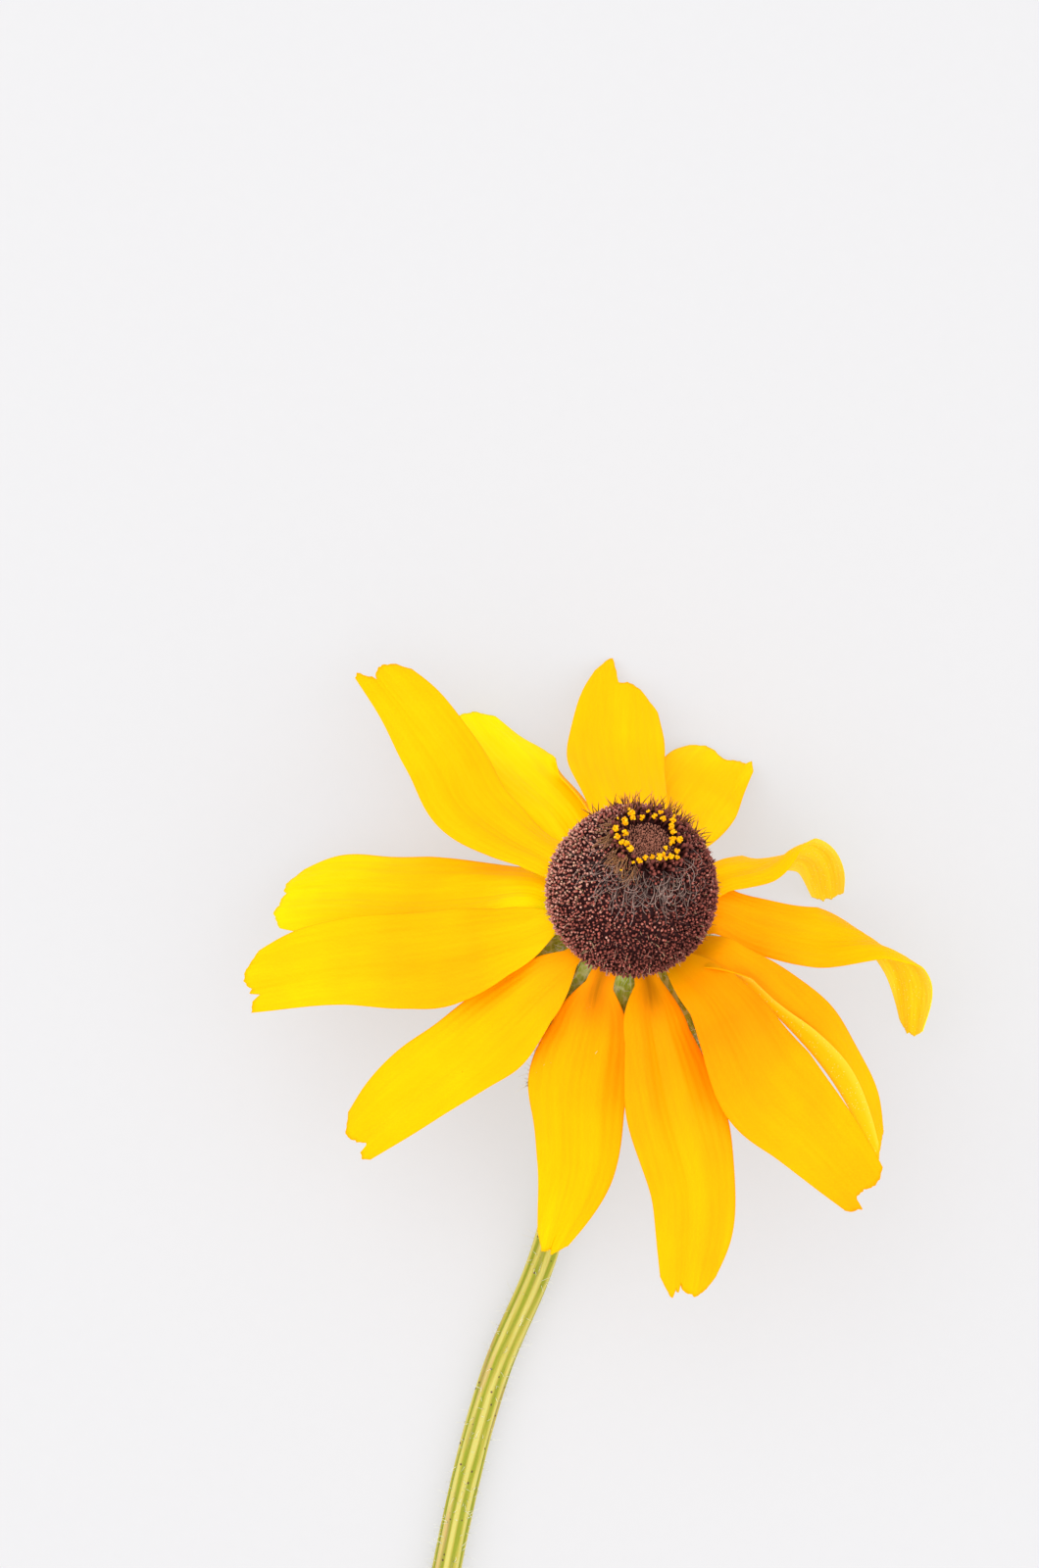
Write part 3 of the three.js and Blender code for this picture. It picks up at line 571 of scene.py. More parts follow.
def ray_face_finish(colours):
    """Silky yellow that deepens to orange at the root, in soft bands along the blade."""
    finish = Finish("ray_face", roughness=0.5, specular_ior_level=0.03, subsurface_weight=0.1,
                    subsurface_scale=0.0008, subsurface_radius=(1.0, 0.6, 0.1))
    across, along, number = (finish.field(name) for name in ("across_mm", "along_mm", "ray_number"))
    streaks = finish.noise(finish.drawn_out(across, along, 0.05, number), 2.4, detail=4.0)
    bands = finish.noise(finish.drawn_out(across, along, 0.15, number), 0.4, detail=1.0)
    clouds = finish.noise(finish.vector(across, along, number), 0.16, detail=2.0)
    yellow = finish.field("yellowness")
    for pattern, change in ((streaks, 0.025), (bands, 0.035), (clouds, 0.03)):
        yellow = finish.maths("ADD", yellow, finish.spread(pattern, 0.3, 0.7, -change, change))
    colour = finish.ramp(yellow, [
        (0.0, colours.ray_root), (0.35, colours.ray_middle),
        (0.7, colours.ray_tip), (1.0, colours.ray_lemon)])
    streaked = finish.spread(streaks, 0.3, 0.7, 0.8, 1.15)
    stain = finish.maths("MULTIPLY", finish.field("stain"), streaked, clamp=True)
    colour = finish.mix(stain, colour, colours.ray_stain)
    flecks = finish.cells(finish.vector(across, along, number), 0.16)
    colour = finish.over(colour, RAY_FLECK, flecks, 0.012, 0.02, 0.0, 0.45)
    finish.bump(streaks, 0.02)
    return finish.paint(colour, finish.spread(clouds, 0.3, 0.7, 0.42, 0.56))


def ray_back_finish(colours):
    """The downy back of a ray, with stronger veins and pale specks."""
    finish = Finish("ray_back", roughness=0.7, specular_ior_level=0.05)
    across, along, number = (finish.field(name) for name in ("across_mm", "along_mm", "ray_number"))
    veins = finish.noise(finish.drawn_out(across, along, 0.05, number), 2.0)
    specks = finish.cells(finish.vector(across, along, number), 2.6)
    colour = finish.over(BACK_DEEP, colours.ray_underside, finish.field("yellowness"), 0.4, 1.0)
    colour = finish.over(colour, BACK_VEIN, veins, 0.35, 0.65, 0.6)
    colour = finish.over(colour, BACK_MARGIN, finish.field("margin"), 0.6, 1.0, 0.5)
    colour = finish.over(colour, BACK_SPECK, specks, 0.08, 0.2, 0.0, 0.6)
    finish.bump(finish.maths("ADD", veins, finish.spread(specks, 0.0, 0.3, 0.6, 0.0)), 0.05)
    return finish.paint(colour)


def floret_finish(colours):
    """Purple brown florets with redder tips, a few of them pale, over hollows of dark purple brown and
    painted shade.
    """
    finish = Finish("floret_brown", roughness=0.55, specular_ior_level=0.12)
    grain = finish.noise(finish.place(), 1800.0)
    tips = finish.ramp(finish.field("tint"), [
        (0.0, darker(colours.floret_tip, 0.3)), (0.5, colours.floret_tip), (0.9, colours.floret_pale),
        (1.0, FLORET_STRAW)])
    young = finish.over(darker(colours.eye_colour, 0.55), colours.eye_colour, grain, 0.35, 0.65)
    tips = finish.mix(finish.field("young"), tips, young)
    # Each floret runs down from its tip colour into floret_dark: its own purple brown, with painted shade at
    # its foot.
    colour = finish.mix(finish.field("tip"), colours.floret_dark, tips)
    colour = finish.over(colour, colours.floret_dark, grain, 0.5, 0.75, 0.3)
    finish.bump(grain, 0.03)
    return finish.paint(colour, finish.spread(grain, 0.3, 0.7, 0.5, 0.7))


def style_finish(name, root, tip, gold):
    """A thin dry thread that changes colour towards its tip, and is golden where it is younger."""
    finish = Finish(name, roughness=0.6, specular_ior_level=0.2)
    grain = finish.noise(finish.place(), 900.0)
    colour = finish.ramp(finish.field("tip"), [(0.0, root), (0.25, root), (0.8, tip)])
    colour = finish.mix(finish.field("gold"), colour, gold)
    tint = finish.ramp(finish.field("tint"), [(0.0, (0.25, 0.22, 0.22)), (1.0, (1.4, 1.4, 1.4))])
    colour = finish.mix(1.0, colour, tint, blend="MULTIPLY")
    finish.bump(grain, 0.01)
    return finish.paint(colour, finish.spread(grain, 0.3, 0.7, 0.5, 0.75))


def pollen_finish(colours):
    """Powdery grains of pollen."""
    finish = Finish("pollen_yellow", roughness=0.9, specular_ior_level=0.05)
    grain = finish.noise(finish.place(), 5200.0, detail=2.0)
    lumps = finish.noise(finish.place(), 1500.0, detail=2.0)
    colour = finish.over(POLLEN_DEEP, colours.pollen_colour, grain, 0.35, 0.65)
    colour = finish.over(colour, POLLEN_PALE, lumps, 0.5, 0.75, 0.6)
    finish.bump(grain, 0.05)
    return finish.paint(colour)


def bract_finish(colours):
    """Downy green with paler veins along the bract and a brown tip."""
    finish = Finish("bract_green", roughness=0.7, specular_ior_level=0.15)
    blotches = finish.noise(finish.place(), 700.0)
    share, across = finish.field("share"), finish.maths("MULTIPLY", finish.field("across"), 2.2)
    ribs = finish.noise(finish.drawn_out(across, share, 0.7), 2.4)
    net = finish.cells(finish.place(), 1500.0)
    colour = finish.over(darker(colours.bract_colour, 0.5), colours.bract_colour, blotches, 0.3, 0.7)
    colour = finish.over(colour, BRACT_RIB, ribs, 0.45, 0.7, 0.5)
    colour = finish.over(colour, BRACT_NET, net, 0.5, 0.75, 0.5)
    colour = finish.over(colour, BRACT_BROWN, share, 0.9, 1.0, 0.7)
    finish.bump(finish.maths("ADD", ribs, blotches), 0.08)
    return finish.paint(colour)


def stem_finish(colours):
    """Pale ridges with a painted highlight along their crests, and green grooves, streaked and spotted with
    purple.
    """
    finish = Finish("stem_green", roughness=0.55, specular_ior_level=0.15, subsurface_weight=0.08,
                    subsurface_scale=0.001)
    along, turn = finish.field("along_mm"), finish.field("turn_mm")
    streaks = finish.noise(finish.drawn_out(turn, along, 0.05), 1.7)
    ridge = finish.maths("ADD", finish.field("ridge"), finish.spread(streaks, 0.3, 0.7, -0.35, 0.35))
    # The last stop paints a highlight along the crests of the ridges.
    colour = finish.ramp(ridge, [(0.1, colours.stem_groove), (0.55, colours.stem_ridge), (0.95, STEM_CREST_HIGHLIGHT)])
    flush = finish.noise(finish.drawn_out(turn, along, 0.09, 4.0), 0.9, detail=2.0)
    colour = finish.over(colour, STEM_FLUSH, flush, 0.54, 0.7, 0.5)
    spots = finish.cells(finish.vector(turn, along, 0.0), 0.75)
    colour = finish.over(colour, STEM_SPOT, spots, 0.08, 0.13, 0.0, 0.85)
    finish.bump(streaks, 0.05)
    return finish.paint(colour, finish.spread(streaks, 0.3, 0.7, 0.45, 0.65))


def hair_finish(colours):
    """Stiff white hairs, faintly green at their roots."""
    finish = Finish("hair_white", roughness=0.5, specular_ior_level=0.4)
    colour = finish.ramp(finish.field("tip"), [
        (0.0, HAIR_ROOT), (0.3, colours.hair_colour), (1.0, colours.hair_colour)])
    grain = finish.noise(finish.place(), 700.0)
    finish.bump(grain, 0.01)
    return finish.paint(finish.over(colour, HAIR_SHADE, grain, 0.4, 0.8, 0.2))


def floor_finish(colours):
    """A plain pale floor with the faintest tooth."""
    finish = Finish("floor_pale", roughness=0.9, specular_ior_level=0.1, emission_strength=0.5,
                    emission_color=FLOOR_GLOW)
    tooth = finish.noise(finish.place(), 600.0, detail=2.0)
    pale = colours.floor_colour
    return finish.paint(finish.over(darker(pale, 0.985), pale, tooth, 0.3, 0.7))


# ------------------------------------------------------------------ rays


FOLD_BEND = 0.8  # width of the rounded strip at a crease
CLAW_LAYER_STEP = 0.15
ROOT_SWELL = 0.4  # how much wider a blade is just after its root than its half widths say
CLAW_TAPER = 0.35
TIP_STRAYS = 25  # even steps across a blade's end that each stray a little
RELIEF = 1.4  # how much the lengthwise waves are strengthened
VEINS = 5.5  # fine ridges on half a blade
RIPPLE, RIPPLES = 0.22, 2.1  # height of the waves of the margins, and the least number of them
WAVE, WAVES = 0.12, 1.3  # height and number of the slow waves of the whole blade
FLAT_SECTION = [(-1, -0.2), (-0.45, 0.16), (0, -0.08), (0.45, 0.16), (1, -0.2)]


def eased(values, place):
    """A smooth curve through values at even steps of place."""
    values = np.array(values, float)
    slopes = np.gradient(values)
    at = np.clip(place, 0, 1) * (len(values) - 1)
    low = np.minimum(at.astype(int), len(values) - 2)
    t = at - low
    rise = values[low + 1] - values[low]
    return (values[low] + slopes[low] * t + (3 * rise - 2 * slopes[low] - slopes[low + 1]) * t ** 2
            + (slopes[low] + slopes[low + 1] - 2 * rise) * t ** 3)


def ray_section(distance, crease, fold, strips=40):
    """How far sideways and up a point of the blade lies from its middle line, where the margin is turned over
    at the crease. distance and crease are in mm from the middle line, to the left."""
    step = (distance - crease) / strips
    sideways, up = crease + np.zeros_like(distance), np.zeros_like(distance)
    for strip in range(strips):
        bend = np.radians(fold) * np.clip(-step * (strip + 0.5) / FOLD_BEND, 0, 1)
        sideways = sideways + step * np.cos(bend)
        up = up + np.abs(step) * np.sin(bend)
    return sideways, up


def ray_grid(ray, number, rows, columns, vein_relief):
    """The middle surface of one ray with its claw, and the fields that its finish reads."""
    rng = np.random.default_rng(100 + number)
    root = on_head(RAY_ROOT_RADIUS, ray["azimuth"], -RAY_TOP_LAYER - RAY_LAYER_STEP * ray["layer"])
    inner = on_head(CLAW_RADIUS, ray["azimuth"], CLAW_HEIGHT - CLAW_LAYER_STEP * ray["layer"])
    curve, length = spine([inner, root, *np.array(ray["path"], float)], 300)
    ahead, normals = carried(curve, HEAD_AXIS)

    # place is 0 at the root and 1 at the tip, and below 0 on the claw.
    claw = np.linalg.norm(root - inner) / length
    length = length * (1 - claw)
    claw = claw / (1 - claw)
    across = np.linspace(-1, 1, columns + 1)[None, :]
    share = np.linspace(0, 1, rows + 1)[:, None]
    shortfall = along_table(ray["tip"], across)
    strays = rng.uniform(-0.003, 0.004, TIP_STRAYS)
    shortfall = shortfall + np.interp(across, np.linspace(-1, 1, TIP_STRAYS), strays)
    place = share * (1 - shortfall * share ** 2)
    on_claw = np.broadcast_to(np.linspace(-claw, 0, CLAW_ROWS, endpoint=False)[:, None],
                              (CLAW_ROWS, columns + 1))
    place = np.concatenate([on_claw, place])
    across = np.broadcast_to(across, place.shape)

    def sampled(values):
        at = np.clip((place + claw) / (1 + claw), 0, 1) * (len(curve) - 1)
        low = np.minimum(at.astype(int), len(curve) - 2)
        part = (at - low)[..., None]
        return values[low] * (1 - part) + values[low + 1] * part

    point, way, normal = sampled(curve), unit(sampled(ahead)), sampled(normals)
    normal = square_to(way, normal)
    roll = np.radians(along_table(ray.get("roll", [(0, 0)]), place))[..., None]
    normal = normal * np.cos(roll) + np.cross(way, normal) * np.sin(roll)
    left = np.cross(normal, way)
    wider = ROOT_SWELL * np.sin(math.pi * np.clip(6 * place, 0, 1)) + CLAW_TAPER * np.minimum(place, 0) / claw
    left_half, right_half = eased(ray["left"], place) + wider, eased(ray["right"], place) + wider
    half = np.where(across > 0, left_half, right_half)
    fold, fold_from = along_table(ray.get("fold", [(0, 0)]), place), ray.get("fold_from", 0)
    crease = -fold_from * (right_half if fold_from > 0 else left_half)
    sideways, up = ray_section(across * half, crease, fold)

    grown = np.clip(5 * place, 0, 1)
    section = ray.get("section", FLAT_SECTION)
    relief = sum(along_table(section, across + step) for step in np.linspace(-0.06, 0.06, 5)) / 5
    relief = RELIEF * relief * grown * (1 - 0.5 * place)
    phase = rng.uniform(0, 2 * math.pi, 4)
    wander = 0.35 * np.sin(2 * math.pi * place * 0.7 + phase[0])
    veins = np.cos(2 * math.pi * across * VEINS + wander)
    relief = relief + vein_relief * veins * grown * (1 - 0.5 * place)
    ripple = np.sin(2 * math.pi * (RIPPLES + rng.uniform(0, 1)) * place + phase[1] + 1.5 * np.sign(across))
    relief = relief + RIPPLE * ripple * np.abs(across) ** 3 * grown
    relief = relief + WAVE * np.sin(2 * math.pi * WAVES * place + phase[2] + 2 * across) * grown
    grid = point + left * sideways[..., None] + normal * up[..., None]
    face = sheet_normals(grid)
    check = CLAW_ROWS + rows // 8
    turned = np.clip(fold / 60, 0, 1) * np.clip((0.35 - fold_from - across) / 0.35, 0, 1)
    relief = relief * (1 - turned)
    grid = grid + face * np.sign(np.sum(face[check] * normal[check])) * relief[..., None]

    shades = ray["shades"]
    fields = {
        "across_mm": across * half,
        "along_mm": place * length,
        "yellowness": np.interp(place, np.linspace(0, 1, len(shades)), shades),
        "margin": np.abs(across) * grown,
        "stain": ray.get("stain", 0) * np.exp(-(across / 0.5) ** 2 - ((place * length - 0.6) / 3.4) ** 2),
        "ray_number": np.full(place.shape, 7.3 * number),
    }
    return grid, fields


# ------------------------------------------------------------------ disc


HONEYCOMB_SHARE = 0.866  # area that each of close packed points takes, for a distance of 1


def golden_spiral(spacing_table, start, end):
    """Angles from the axis and round it of points on the disc, in the spirals of the golden angle."""
    angle = np.linspace(0, end, 3000)
    spacing = along_table(spacing_table, angle)
    reach = cone_reach(angle)
    ring = 2 * math.pi * np.sin(np.radians(angle)) * reach ** 2 * np.radians(angle[1])
    count = np.cumsum(ring / (HONEYCOMB_SHARE * spacing ** 2))
    number = np.arange(int(count[-1]))
    angles = np.interp(number + 0.5, count, angle)
    azimuths = np.degrees(number * GOLDEN_ANGLE) % 360
    kept = angles >= start
    return angles[kept], azimuths[kept]


def upright_threads(angle, azimuth, heights, radii, bend, sides):
    """Short posts on the disc, each bent by its own vector, from heights and radii along them."""
    way = outward(angle, azimuth)
    heights = np.asarray(heights)
    paths = (on_disc(angle, azimuth, 0.0)[:, None] + way[:, None] * heights[..., None]
             + bend[:, None] * (np.maximum(heights, 0) ** 1.3)[..., None])
    return threads(paths, radii, sides)


def thread_fields(tips, sides, count, **each):
    """The fields of many threads: tip is the same along each of them, the others have a value for each."""
    fields = {"tip": np.tile(np.repeat(tips, sides), count)}
    for name, values in each.items():
        fields[name] = np.repeat(np.broadcast_to(values, count), sides * len(tips))
    return fields


def florets(shape, angle, azimuth, tall, wide, bend, sides, tint, young=0.0):
    """Florets or scales of one shape on the disc, as points, faces and fields."""
    heights, radii, tips = shape
    points, faces = upright_threads(
        angle, azimuth, np.array([heights]) * tall, np.array([radii]) * wide, bend, sides)
    return points, faces, thread_fields(tips, sides, len(angle), tint=tint, young=young)


def make_florets(name, parts, finish, nodes=()):
    """Makes one piece of several lots of florets."""
    points, faces = gathered([part[:2] for part in parts])
    fields = {field: np.concatenate([part[2][field] for part in parts]) for field in ("tip", "tint", "young")}
    make_piece(name, points, faces, [finish], nodes, fields=fields)


def in_pairs(leans):
    """Each lean and its opposite, for pairs that part from one root."""
    return np.stack([leans, -leans], axis=1).reshape(-1, 3)


def to_top(angle, azimuth):
    """The way along the disc's skin towards its top."""
    return square_to(outward(angle, azimuth), HEAD_AXIS)


def disc_profile(sides=72, rows=54):
    """The dark dome under the florets, closed by its flat foot."""
    angles = np.linspace(0.5, 179.5, rows + 1)
    azimuths = np.arange(sides) * 360 / sides
    grid = on_disc(angles[:, None], azimuths[None, :], -0.04)
    return grid.reshape(-1, 3), tube_faces(rows, sides)


def curled_threads(rng, angle, azimuth, heading, length, turning, start_lift, lift, steps):
    """Threads that lie on the disc and curl over it. heading is in degrees from straight down the disc."""
    step = length / (steps - 1)
    paths = np.empty((len(angle), steps, 3))
    change = rng.uniform(-1, 1, len(angle))
    phase = rng.uniform(0, 2 * math.pi, len(angle))
    for i in range(steps):
        part = i / (steps - 1)
        rise = start_lift + (lift - start_lift) * math.sin(min(part * 2.2, math.pi / 2))
        rise = rise + 0.1 * np.sin(phase + 7 * part)
        paths[:, i] = on_disc(angle, azimuth, rise)
        reach = cone_reach(angle) * np.maximum(np.sin(np.radians(angle)), 0.2)
        azimuth = azimuth + np.degrees(step * np.sin(np.radians(heading)) / reach)
        angle = angle + np.degrees(step * np.cos(np.radians(heading)) / CONE_RADIUS)
        heading = heading + turning / steps * (0.3 + 2.1 * part ** 2) * (1 + change * (part - 0.3))
    return paths


def grow_hairs(name, rng, roots, ways, lengths, radius=0.032):
    """Stiff tapered hairs that curve a little, as real meshes."""
    count, steps, sides = len(roots), 4, 3
    part = np.linspace(0, 1, steps)[None, :, None]
    sag = rng.normal(size=(count, 3)) * 0.22
    paths = roots[:, None] + lengths[:, None, None] * (ways[:, None] * part + sag[:, None] * part ** 2)
    paths[..., 2] = np.maximum(paths[..., 2], 0.05)
    radii = radius * np.array([[1.0, 0.8, 0.55, 0.2]]) * rng.uniform(0.8, 1.2, (count, 1))
    points, faces = threads(paths, radii, sides)
    make_piece(name, points, faces, [hair_finish(bpy.context.scene.flower_colours)],
               fields=thread_fields(np.linspace(0, 1, steps), sides, count))


def pollen_lobe(rng, middle, radius, sides=8, rows=5):
    """A small rounded lump, closed by a flat at each pole."""
    polar = np.linspace(0.25, math.pi - 0.25, rows)
    turn = np.linspace(0, 2 * math.pi, sides, endpoint=False)
    lump = np.stack([
        np.sin(polar)[:, None] * np.cos(turn), np.sin(polar)[:, None] * np.sin(turn),
        np.cos(polar)[:, None] * np.ones(sides)], axis=-1)
    lump = lump * rng.uniform(0.88, 1.12, (rows, sides, 1))
    return middle + radius * lump.reshape(-1, 3), tube_faces(rows - 1, sides)


# ------------------------------------------------------------------ bracts


# Place along the claw, radius and depth of a bract's middle before it leaves the cup's rim.
BRACT_ROOT_PROFILE = [(-3, 4.6, 0.75), (-2, 5.3, 1.7), (-1, 6.0, 2.75), (0, 6.75, 3.9)]


def bract_grid(azimuth, length, droop, rows, columns):
    """The middle surface of one bract, which leaves the cup's rim under the rays and tapers to a point."""
    place = np.linspace(0, 1, rows + 1)[:, None]
    side = np.linspace(1, -1, columns + 1)[None, :]
    reach = place * (length + BRACT_ROOT) - BRACT_ROOT
    bend = np.radians(droop) * (0.55 + 0.45 * place)
    beyond = np.maximum(reach, 0)
    steps, radii, depths = zip(*BRACT_ROOT_PROFILE)
    radius = np.interp(reach, steps, radii) + beyond * np.cos(bend)
    height = -np.interp(reach, steps, depths) - 0.4 * np.minimum(beyond, 1) - beyond * np.sin(bend)
    half = BRACT_WIDTH / 2 * (0.9 - 0.78 * place ** 1.8)
    keel = -0.25 * (1 - np.abs(side)) - 0.06 * np.cos(3 * math.pi * side)
    grid = on_head(radius * np.ones_like(side), azimuth + np.degrees(side * half / radius),
                   height + keel * np.ones_like(place))
    return grid, np.broadcast_to(side, grid.shape[:2]), np.broadcast_to(place, grid.shape[:2])


# ------------------------------------------------------------------ operators


class FLOWER_OT_stage(bpy.types.Operator):
    """Makes the pale floor, the soft lights and the camera that looks straight down."""

    bl_idname = "flower.stage"
    bl_label = "Stage"

    CAMERA_PLACE = (-0.00786, 0.04563, 0.63)
    SENSOR = 36.0
    PLANE_HEIGHT = 0.03  # where the picture is SEEN_LENGTH tall
    SEEN_LENGTH = 0.176
    FLOOR_HALF = 1.5
    FLOOR_DROP = 0.00002
    LAMPS = [("key", (-0.4, 0.24, 0.6), 2.95), ("fill", (0.4, -0.2, 0.6), 2.6)]  # name, place and watts
    LAMP_SIZE = 1.0
    LAMP_AIM = np.array([0.0, 0.03, 0.02])
    WORLD_STRENGTH = 1.08

    def execute(self, context):
        scene = context.scene
        mesh = bpy.data.meshes.new("floor")
        half = self.FLOOR_HALF
        corners = [(-half, -half), (half, -half), (half, half), (-half, half)]
        mesh.from_pydata([(x, y, -self.FLOOR_DROP) for x, y in corners], [], [(0, 1, 2, 3)])
        mesh.materials.append(floor_finish(scene.flower_colours))
        floor = bpy.data.objects.new("floor", mesh)
        scene.collection.objects.link(floor)

        camera = bpy.data.cameras.new("camera")
        camera.sensor_fit = "VERTICAL"
        camera.sensor_height = self.SENSOR
        camera.lens = self.SENSOR * (self.CAMERA_PLACE[2] - self.PLANE_HEIGHT) / self.SEEN_LENGTH
        camera.clip_start = 0.01
        camera.clip_end = 20.0
        eye = bpy.data.objects.new("camera", camera)
        eye.location = self.CAMERA_PLACE
        scene.collection.objects.link(eye)
        scene.camera = eye

        for name, place, watts in self.LAMPS:
            light = bpy.data.lights.new(name, "AREA")
            light.shape = "DISK"
            light.size = self.LAMP_SIZE
            light.energy = watts
            lamp = bpy.data.objects.new(name, light)
            lamp.location = place
            away = np.array(place) - self.LAMP_AIM
            lamp.rotation_euler = (math.acos(away[2] / np.linalg.norm(away)), 0.0,
                                   math.atan2(away[1], away[0]) + math.pi / 2)
            lamp.visible_camera = False
            scene.collection.objects.link(lamp)

        world = bpy.data.worlds.new("studio")
        world.use_nodes = True
        background = world.node_tree.nodes["Background"]
        background.inputs["Color"].default_value = (1.0, 1.0, 1.0, 1.0)
        background.inputs["Strength"].default_value = self.WORLD_STRENGTH
        scene.world = world
        scene.view_settings.view_transform = "Standard"
        return {"FINISHED"}


class FLOWER_OT_rays(bpy.types.Operator):
    """Makes the thirteen rays."""

    bl_idname = "flower.rays"
    bl_label = "Rays"

    ROWS = 60
    COLUMNS = 56

    def execute(self, context):
        sizes, colours = context.scene.flower_sizes, context.scene.flower_colours
        finishes = [ray_face_finish(colours), ray_back_finish(colours)]
        for number, ray in enumerate(RAYS, 1):
            rows = ray.get("rows", self.ROWS)
            grid, fields = ray_grid(ray, number, rows, self.COLUMNS, sizes.vein_relief / MM)
            across = np.linspace(-1, 1, self.COLUMNS + 1)[None, :]
            thickness = sizes.ray_thickness / MM * (1 - 0.5 * across ** 4) * np.ones((len(grid), 1))
            points, quads, on_back = blade(grid, thickness)
            fields = {name: np.tile(values.reshape(-1), 2) for name, values in fields.items()}
            make_piece(f"petal_{number:02d}", points, quads, finishes, [f"ray_{number:02d}"],
                       on_back, fields)
        return {"FINISHED"}


class FLOWER_OT_disc(bpy.types.Operator):
    """Makes the disc of florets with its sunken eye and the collar of open florets round it."""

    bl_idname = "flower.disc"
    bl_label = "Disc"

    # Degrees from the head's axis where the kinds of florets end, and between which the scales stand.
    EYE_EDGE = EYE_ANGLE
    COLLAR_EDGE = 25.0
    DENSE_EDGE = 110.0
    LAST = 137.0
    SCALES_FROM, SCALES_TO = 27.0, 118.0
    PALE_SCALES = 0.3  # share of the scales
    # Middle and width of the painted shade under the curled styles, in degrees round the head and from its
    # axis.
    PATCH_ROUND, PATCH_DOWN = (266, 42), (36, 15)

    # Heights, radii and share of the tip's colour along a floret of each kind.
    YOUNG = [-0.06, 0.12, 0.24], [0.11, 0.09, 0.03], [0.25, 0.8, 1.0]
    OPEN = [-0.1, 0.4, 0.9, 1.15, 1.22], [0.18, 0.15, 0.16, 0.2, 0.06], [0.0, 0.1, 0.35, 0.6, 0.7]
    SPENT = [-0.25, 0.3, 0.56, 0.82, 1.0], [0.17, 0.19, 0.33, 0.29, 0.1], [0.0, 0.05, 0.5, 1.0, 1.0]
    SCALE = [-0.1, 0.5, 1.0], [0.06, 0.05, 0.012], [0.0, 0.6, 1.0]

    def execute(self, context):
        sizes, colours = context.scene.flower_sizes, context.scene.flower_colours
        rng = np.random.default_rng(7)
        spacing, height = sizes.floret_spacing / MM, sizes.floret_height / MM
        finish = floret_finish(colours)

        angle, azimuth = golden_spiral([(0, 0.22), (20, 0.27)], 0.0, self.EYE_EDGE)
        count = len(angle)
        angle = np.abs(angle + rng.uniform(-0.5, 0.5, count))
        size = rng.uniform(0.7, 1.4, (count, 1))
        bend = rng.normal(size=(count, 3)) * 0.5
        eye = florets(self.YOUNG, angle, azimuth, size, size, bend, 5, 0.0, young=1.0)

        angle, azimuth = golden_spiral([(0, 0.5)], self.EYE_EDGE, self.COLLAR_EDGE)
        count = len(angle)
        size = rng.uniform(0.6, 1.2, (count, 1))
        collar = florets(self.OPEN, angle, azimuth + rng.uniform(-4, 4, count), size, size,
                         rng.normal(size=(count, 3)) * 0.15, 6, rng.uniform(0.0, 0.45, count))
        make_florets("eye_florets", [eye, collar], finish)

        angle, azimuth = golden_spiral(
            [(0, spacing), (self.DENSE_EDGE, spacing), (120, 0.8)], self.COLLAR_EDGE, self.LAST)
        count = len(angle)
        stray = np.degrees(0.36 * spacing / CONE_RADIUS)
        angle = angle + rng.uniform(-stray, stray, count)
        azimuth = azimuth + rng.uniform(-stray, stray, count) / np.sin(np.radians(angle))
        low = np.clip((angle - 45) / 40, 0, 1) * np.clip(-np.sin(np.radians(azimuth)), 0, 1)
        patch = [(value - middle) / width for value, (middle, width) in (
            (azimuth, self.PATCH_ROUND), (angle, self.PATCH_DOWN))]
        styles_shade = np.exp(-(patch[0] ** 2) - patch[1] ** 2)
        # darker on the low flank of the disc, and darker still in the painted shade under the curled styles.
        # tint is random tone with painted light and shade: lighter towards the key lamp, darker away from it,
        tint = rng.normal(0.45, 0.2, count) - 0.26 * low - 0.26 * np.cos(np.radians(azimuth)) - 0.55 * styles_shade
        tall = height * rng.uniform(0.6, 1.2, (count, 1))
        wide = spacing * (rng.uniform(0.7, 1.15, count) - 0.1 * low)[:, None]
        bend = 0.15 * to_top(angle, azimuth) + rng.normal(size=(count, 3)) * 0.25
        points, faces = disc_profile()
        # The dome under the florets takes floret_dark, which is partly painted shade in the hollows.
        dark = np.zeros(len(points))
        make_florets("disc_florets", [
            (points, faces, {"tip": dark, "tint": dark, "young": dark}),
            florets(self.SPENT, angle, azimuth, tall, wide, bend, 5, np.clip(tint, 0, 0.93))],
            finish, ["disc_cone"])

        count = sizes.scale_count // 2
        nearest, furthest = (math.cos(math.radians(edge)) for edge in (self.SCALES_FROM, self.SCALES_TO))
        angle = np.degrees(np.arccos(rng.uniform(furthest, nearest, count)))
        azimuth = rng.uniform(0, 360, count)
        lean = rng.normal(size=(count, 3)) * 0.75
        tall = height * rng.uniform(0.6, 1.08, (2 * count, 1))
        pale = rng.uniform(0, 1, count) < self.PALE_SCALES
        tint = np.where(pale, rng.uniform(0.85, 1.0, count), rng.uniform(0.1, 0.7, count))
        make_florets("disc_scales", [florets(
            self.SCALE, np.repeat(angle, 2), np.repeat(azimuth, 2), tall, np.ones((2 * count, 1)),
            in_pairs(lean), 3, np.repeat(tint, 2))], finish)
        return {"FINISHED"}


